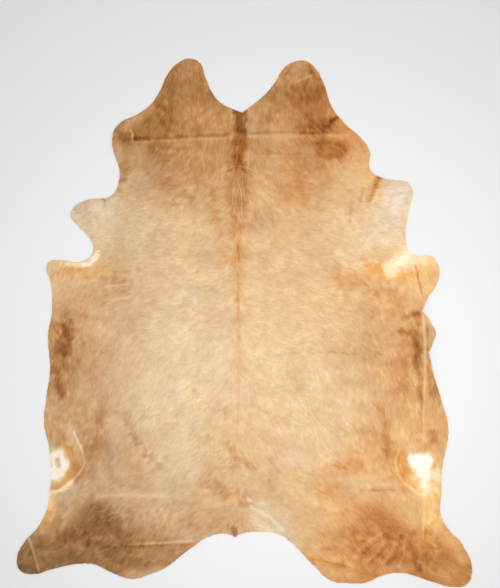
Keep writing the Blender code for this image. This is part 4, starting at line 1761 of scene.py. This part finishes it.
@dataclass
class Coat:
    """The short hair, as small closed locks laid like shingles.

    Attributes:
        pitch: Distance between neighbouring roots.
        jitter: Share of the pitch by which a root may stand aside.
        planted: Share of leather round a root from which on a lock grows there.
        length: Mean length of a lock.
        length_spread: Spread of that length.
        length_limits: Shortest and longest lock.
        width: Mean width of a lock at its root.
        width_spread: Spread of that width.
        width_limits: Narrowest and widest lock.
        root_lift: Height of a root over the leather.
        tip_lift: Height of a tip over the leather.
        tip_spread: Least and greatest share of that height.
        crown: Rise of a lock's back over its sides.
        crown_spread: Least and greatest share of that rise.
        crown_place: Place of the highest point along the lock.
        stray: Spread of a lock's direction, in radians.
        overhang: How far a lock may reach past the edge.
        trim_steps: Number of places along a lock at which the edge is looked for.
        floor_gap: Least height of a lock over the floor.
        dye_place: Share of its length before a root at which its colour is read.
        dye_run: Growth of that share from root to tip.
        panels: Number of meshes that share the locks.
        seed: Seed of the locks.
        wrinkles: Wrinkles over the withers.
        wisps: Long hairs over the back.
    """

    pitch: float = 0.00475
    jitter: float = 0.4
    planted: float = 0.6
    length: float = 0.019
    length_spread: float = 0.004
    length_limits: tuple[float, float] = (0.010, 0.028)
    width: float = 0.0052
    width_spread: float = 0.0009
    width_limits: tuple[float, float] = (0.003, 0.008)
    root_lift: float = -0.0003
    tip_lift: float = 0.0032
    tip_spread: tuple[float, float] = (0.8, 1.1)
    crown: float = 0.0007
    crown_spread: tuple[float, float] = (0.7, 1.3)
    crown_place: float = 0.35
    stray: float = 0.32
    overhang: float = 0.0035
    trim_steps: int = 10
    floor_gap: float = 0.0003
    dye_place: float = 0.55
    dye_run: float = 0.3
    panels: int = 5
    seed: int = 9
    wrinkles: WithersWrinkles = field(default_factory=WithersWrinkles)
    wisps: BackWisps = field(default_factory=BackWisps)

    def lock_shape(self) -> tuple[np.ndarray, np.ndarray]:
        """Models one lock as a three-sided cone with its back drawn forward.

        Returns:
            Its vertices, of width, length and height 1, and the vertices of its faces.
        """
        base_width = math.sqrt(3)
        base_height = 1.5
        weld = 0.0001
        bm = bmesh.new()
        bmesh.ops.create_cone(bm, cap_ends=True, segments=3, radius1=1.0, radius2=0.0, depth=1.0)
        bmesh.ops.remove_doubles(bm, verts=bm.verts, dist=weld)
        lie_down = Matrix.Rotation(math.pi, 3, "Z") @ Matrix.Rotation(math.pi / 2, 3, "X")
        bmesh.ops.rotate(bm, cent=(0, 0, 0), matrix=lie_down, verts=bm.verts)
        bmesh.ops.translate(bm, vec=(0, 0.5, 0.5), verts=bm.verts)
        bmesh.ops.scale(bm, vec=(1 / base_width, 1, 1 / base_height), verts=bm.verts)
        back = max(bm.verts, key=lambda vertex: vertex.co.z)
        tip = max(bm.verts, key=lambda vertex: vertex.co.y)
        back.co.y = self.crown_place
        tip.co.z = 0.0
        bmesh.ops.recalc_face_normals(bm, faces=bm.faces)
        bm.verts.index_update()
        corners = np.array([vertex.co for vertex in bm.verts])
        faces = np.array([[vertex.index for vertex in face.verts] for face in bm.faces])
        bm.free()
        return corners, faces

    def roots(self, chart: Chart, relief: Relief, rng: np.random.Generator) -> tuple[np.ndarray, np.ndarray]:
        """Plants the roots over the leather in staggered rows.

        Args:
            chart: The cells.
            relief: The relief of the leather.
            rng: Source of randomness.

        Returns:
            The x and the y of every root.
        """
        row_step = self.pitch * math.sqrt(3) / 2
        columns = int(chart.columns * chart.pitch / self.pitch)
        rows = int(chart.rows * chart.pitch / row_step)
        column, row = np.meshgrid(np.arange(columns), np.arange(rows))
        x = chart.low_x + self.pitch * (column + 0.5 * (row % 2))
        y = chart.low_y + row_step * row
        x = (x + rng.uniform(-self.jitter, self.jitter, x.shape) * self.pitch).ravel()
        y = (y + rng.uniform(-self.jitter, self.jitter, y.shape) * self.pitch).ravel()
        grows = chart.sample(relief.cover, x, y) > self.planted
        return x[grows], y[grows]

    def trim(
        self, chart: Chart, relief: Relief, x: np.ndarray, y: np.ndarray, turn: np.ndarray, length: np.ndarray
    ) -> np.ndarray:
        """Cuts the locks that reach too far past the edge.

        Args:
            chart: The cells.
            relief: The relief of the leather.
            x: Roots across the hide.
            y: Roots along the hide.
            turn: Direction of every lock, as an angle from +X.
            length: Length of every lock.

        Returns:
            The length that is kept of every lock.
        """
        kept = np.zeros_like(length)
        over_a_step = 1.1 / self.trim_steps
        for share in np.linspace(1 / self.trim_steps, 1.0, self.trim_steps):
            reach = share * length
            cover = chart.sample(relief.cover, x + np.cos(turn) * reach, y + np.sin(turn) * reach)
            unbroken = kept >= reach - over_a_step * length
            kept = np.where((cover > HALF) & unbroken, reach, kept)
        return np.minimum(length, kept + self.overhang)

    def build(self, plan: Plan, relief: Relief) -> list[bpy.types.Object]:
        """Makes every lock, in a few long panels.

        Args:
            plan: The colour plan.
            relief: The relief of the leather.

        Returns:
            The panels, the wrinkles over the withers and the wisps over the back.
        """
        rng = np.random.default_rng(self.seed)
        chart = plan.chart
        x, y = self.roots(chart, relief, rng)
        count = len(x)
        turn = np.arctan2(chart.sample(plan.lie.along, x, y), chart.sample(plan.lie.across, x, y))
        turn = turn + self.stray * rng.standard_normal(count)
        length = np.clip(rng.normal(self.length, self.length_spread, count), *self.length_limits)
        length = self.trim(chart, relief, x, y, turn, length)
        width = np.clip(rng.normal(self.width, self.width_spread, count), *self.width_limits)
        rise = self.crown * rng.uniform(*self.crown_spread, count)
        lift = self.tip_lift * rng.uniform(*self.tip_spread, count)
        laid = (x, y, turn, length, width, rise, np.full(count, self.root_lift), lift)
        finish = HairFinish().material()
        pieces = []
        for number, chosen in enumerate(np.array_split(np.argsort(x), self.panels), start=1):
            locks = Locks(*(values[chosen] for values in laid))
            pieces.append(self.panel(f"coat_panel_{number}", locks, plan, relief, finish))
        # the wisps' gain is their paler hair; the wrinkles' gain is a painted highlight on their crests
        for name, growth in (("withers_wrinkles", self.wrinkles), ("back_wisps", self.wisps)):
            locks = growth.plant(plan, rng)
            pieces.append(self.panel(name, locks, plan.lighter(growth.rows.gain), relief, finish))
        return pieces

    def grow(
        self, locks: Locks, plan: Plan, relief: Relief
    ) -> tuple[np.ndarray, np.ndarray, dict[str, np.ndarray]]:
        """Places the corners of every lock.

        Args:
            locks: The locks.
            plan: The colour plan.
            relief: The relief of the leather.

        Returns:
            The corners, the faces of one lock, and the numbers of every corner by their names.
        """
        corners, faces = self.lock_shape()
        aside, ahead, up = corners.T
        rng = np.random.default_rng(self.seed + 1)
        chart = plan.chart
        x = locks.x[:, None]
        y = locks.y[:, None]
        way_x = np.cos(locks.turn)[:, None]
        way_y = np.sin(locks.turn)[:, None]
        side = aside * locks.width[:, None]
        reach = ahead * locks.length[:, None]
        at_x = x + way_x * reach + way_y * side
        at_y = y + way_y * reach - way_x * side
        slope = locks.root_lift[:, None] + (locks.tip_lift - locks.root_lift)[:, None] * ahead
        at_z = chart.sample(relief.height, at_x, at_y) + slope + locks.rise[:, None] * up
        points = np.stack((at_x, at_y, np.maximum(at_z, self.floor_gap)), 2)
        seen = (self.dye_place + self.dye_run * ahead) * locks.length[:, None]
        seen_x = x + way_x * seen
        seen_y = y + way_y * seen
        values = {
            "tone": chart.sample(plan.tone, seen_x, seen_y),
            "warmth": chart.sample(plan.warmth, seen_x, seen_y),
            "along": np.broadcast_to(ahead, at_x.shape),
            "strand": np.broadcast_to(rng.random(len(x))[:, None], at_x.shape),
        }
        return points, faces, values

    def panel(
        self, name: str, locks: Locks, plan: Plan, relief: Relief, finish: bpy.types.Material
    ) -> bpy.types.Object:
        """Joins many locks in one mesh.

        Args:
            name: Name of the piece.
            locks: The locks.
            plan: The colour plan.
            relief: The relief of the leather.
            finish: The material.

        Returns:
            The panel.
        """
        points, faces, values = self.grow(locks, plan, relief)
        count, corners = points.shape[:2]
        sides = faces.shape[1]
        loops = (faces[None] + corners * np.arange(count)[:, None, None]).ravel()
        mesh = bpy.data.meshes.new(name)
        mesh.vertices.add(count * corners)
        mesh.vertices.foreach_set("co", points.astype(np.float32).ravel())
        mesh.loops.add(len(loops))
        mesh.loops.foreach_set("vertex_index", loops.astype(np.int32))
        mesh.polygons.add(count * len(faces))
        mesh.polygons.foreach_set("loop_start", np.arange(0, len(loops), sides, dtype=np.int32))
        mesh.shade_flat()
        mesh.update(calc_edges=True)
        for key, numbers in values.items():
            add_number(mesh, key, numbers.ravel())
        flat = points.reshape(-1, 3)[:, :2]
        spread = (flat - flat.min(0)) / (flat.max(0) - flat.min(0))
        layer = mesh.uv_layers.new(name="OFBake")
        layer.data.foreach_set("uv", spread[loops].astype(np.float32).ravel())
        mesh.materials.append(finish)
        return add_object(name, mesh)


@dataclass
class Cowhide:
    """The whole hide: leather and coat.

    Attributes:
        grooming: The lie of the hair.
        markings: The colour plan.
        leather: The skin.
        coat: The hair.
    """

    grooming: Grooming = field(default_factory=Grooming)
    markings: Markings = field(default_factory=Markings)
    leather: Leather = field(default_factory=Leather)
    coat: Coat = field(default_factory=Coat)

    def build(self) -> list[bpy.types.Object]:
        """Builds and dresses every piece of the hide.

        Returns:
            The pieces.
        """
        chart = Chart.around(*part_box(HIDE))
        plan = self.markings.draw(chart, self.grooming.lie(chart))
        skin = self.leather.build(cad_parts[HIDE], plan)
        coat = self.coat.build(plan, Relief.measure(skin, chart))
        for piece in (skin, *coat):
            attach(piece, BODY)
        self.leather.declare(skin, coat)
        return [skin, *coat]


# --- the studio -------------------------------------------------------------------------------------------


@dataclass
class Lamp:
    """One soft lamp that shines down on the hide.

    Attributes:
        name: Name of the lamp.
        place: Where it hangs.
        size: Its width.
        power: Its power in watts.
        colour: Linear colour of its light.
        target: Point that it is turned to.
        spread: Angle over which its light fans out, in degrees.
    """

    name: str
    place: tuple[float, float, float]
    size: float
    power: float
    colour: tuple[float, float, float]
    target: tuple[float, float, float] = (0.0, 0.0, 0.0)
    spread: float = 180.0

    def build(self) -> None:
        """Hangs the lamp, turned towards its target."""
        data = bpy.data.lights.new(self.name, "AREA")
        data.shape = "DISK"
        data.size = self.size
        data.energy = self.power
        data.color = self.colour
        data.spread = math.radians(self.spread)
        lamp = add_object(self.name, data)
        lamp.location = self.place
        aim = Vector(self.target) - Vector(self.place)
        lamp.rotation_euler = aim.to_track_quat("-Z", "Y").to_euler()


@dataclass
class Studio:
    """A pale floor under soft lamps, seen by a camera straight above.

    Attributes:
        floor_side: Side of the floor.
        floor_drop: Gap between the floor and the leather.
        ambient: Strength of the light from all round.
        ambient_colour: Linear colour of that light.
        eye: Where the camera is.
        lens: Focal length of the camera in millimetres.
        sensor: Width of its sensor in millimetres.
        lamps: The lamps.
    """

    floor_side: float = 40.0
    floor_drop: float = 0.0004
    ambient: float = 0.74
    ambient_colour: tuple[float, float, float] = (0.985, 0.985, 1.0)
    eye: tuple[float, float, float] = (0.027, 0.140, 3.99)
    lens: float = 50.0
    sensor: float = 36.0
    lamps: tuple[Lamp, ...] = (
        Lamp(
            "overhead_softbox", (0.20, -0.20, 4.2), size=2.0, power=18.0, colour=(0.99, 1.0, 0.97),
            target=(0.22, -0.18, 0.0), spread=76.0,
        ),
        Lamp("left_fill", (-4.0, -0.5, 3.4), size=2.0, power=6.0, colour=(0.72, 0.90, 1.0)),
        Lamp("right_fill", (4.0, -1.5, 3.4), size=2.0, power=16.0, colour=(1.0, 0.88, 0.78)),
    )

    def floor(self) -> None:
        """Lays the floor."""
        bm = bmesh.new()
        bmesh.ops.create_grid(bm, x_segments=1, y_segments=1, size=self.floor_side / 2)
        bmesh.ops.translate(bm, vec=(0, 0, -self.floor_drop), verts=bm.verts)
        mesh = bpy.data.meshes.new("floor")
        bm.to_mesh(mesh)
        bm.free()
        mesh.materials.append(FloorFinish().material())
        add_object("floor", mesh)

    def camera(self) -> None:
        """Sets the camera straight above, with the neck at the top of the picture."""
        data = bpy.data.cameras.new("overhead_camera")
        data.lens = self.lens
        data.sensor_width = self.sensor
        camera = add_object("overhead_camera", data)
        camera.location = self.eye
        bpy.context.scene.camera = camera

    def build(self) -> None:
        """Builds the floor, the camera, the lamps and the light from all round."""
        self.floor()
        self.camera()
        for lamp in self.lamps:
            lamp.build()
        world = bpy.data.worlds.new("soft_room")
        world.use_nodes = True
        sky = world.node_tree.nodes["Background"]
        sky.inputs["Color"].default_value = (*self.ambient_colour, 1.0)
        sky.inputs["Strength"].default_value = self.ambient
        bpy.context.scene.world = world
        bpy.context.scene.view_settings.view_transform = "Standard"


def main() -> None:
    """Builds the studio and the hide, and reports every piece."""
    logging.basicConfig(level=logging.INFO, format="%(name)s: %(message)s")
    Studio().build()
    for piece in Cowhide().build():
        log.info("%s: %d faces", piece.name, len(piece.data.polygons))


if __name__ == "__main__":
    main()
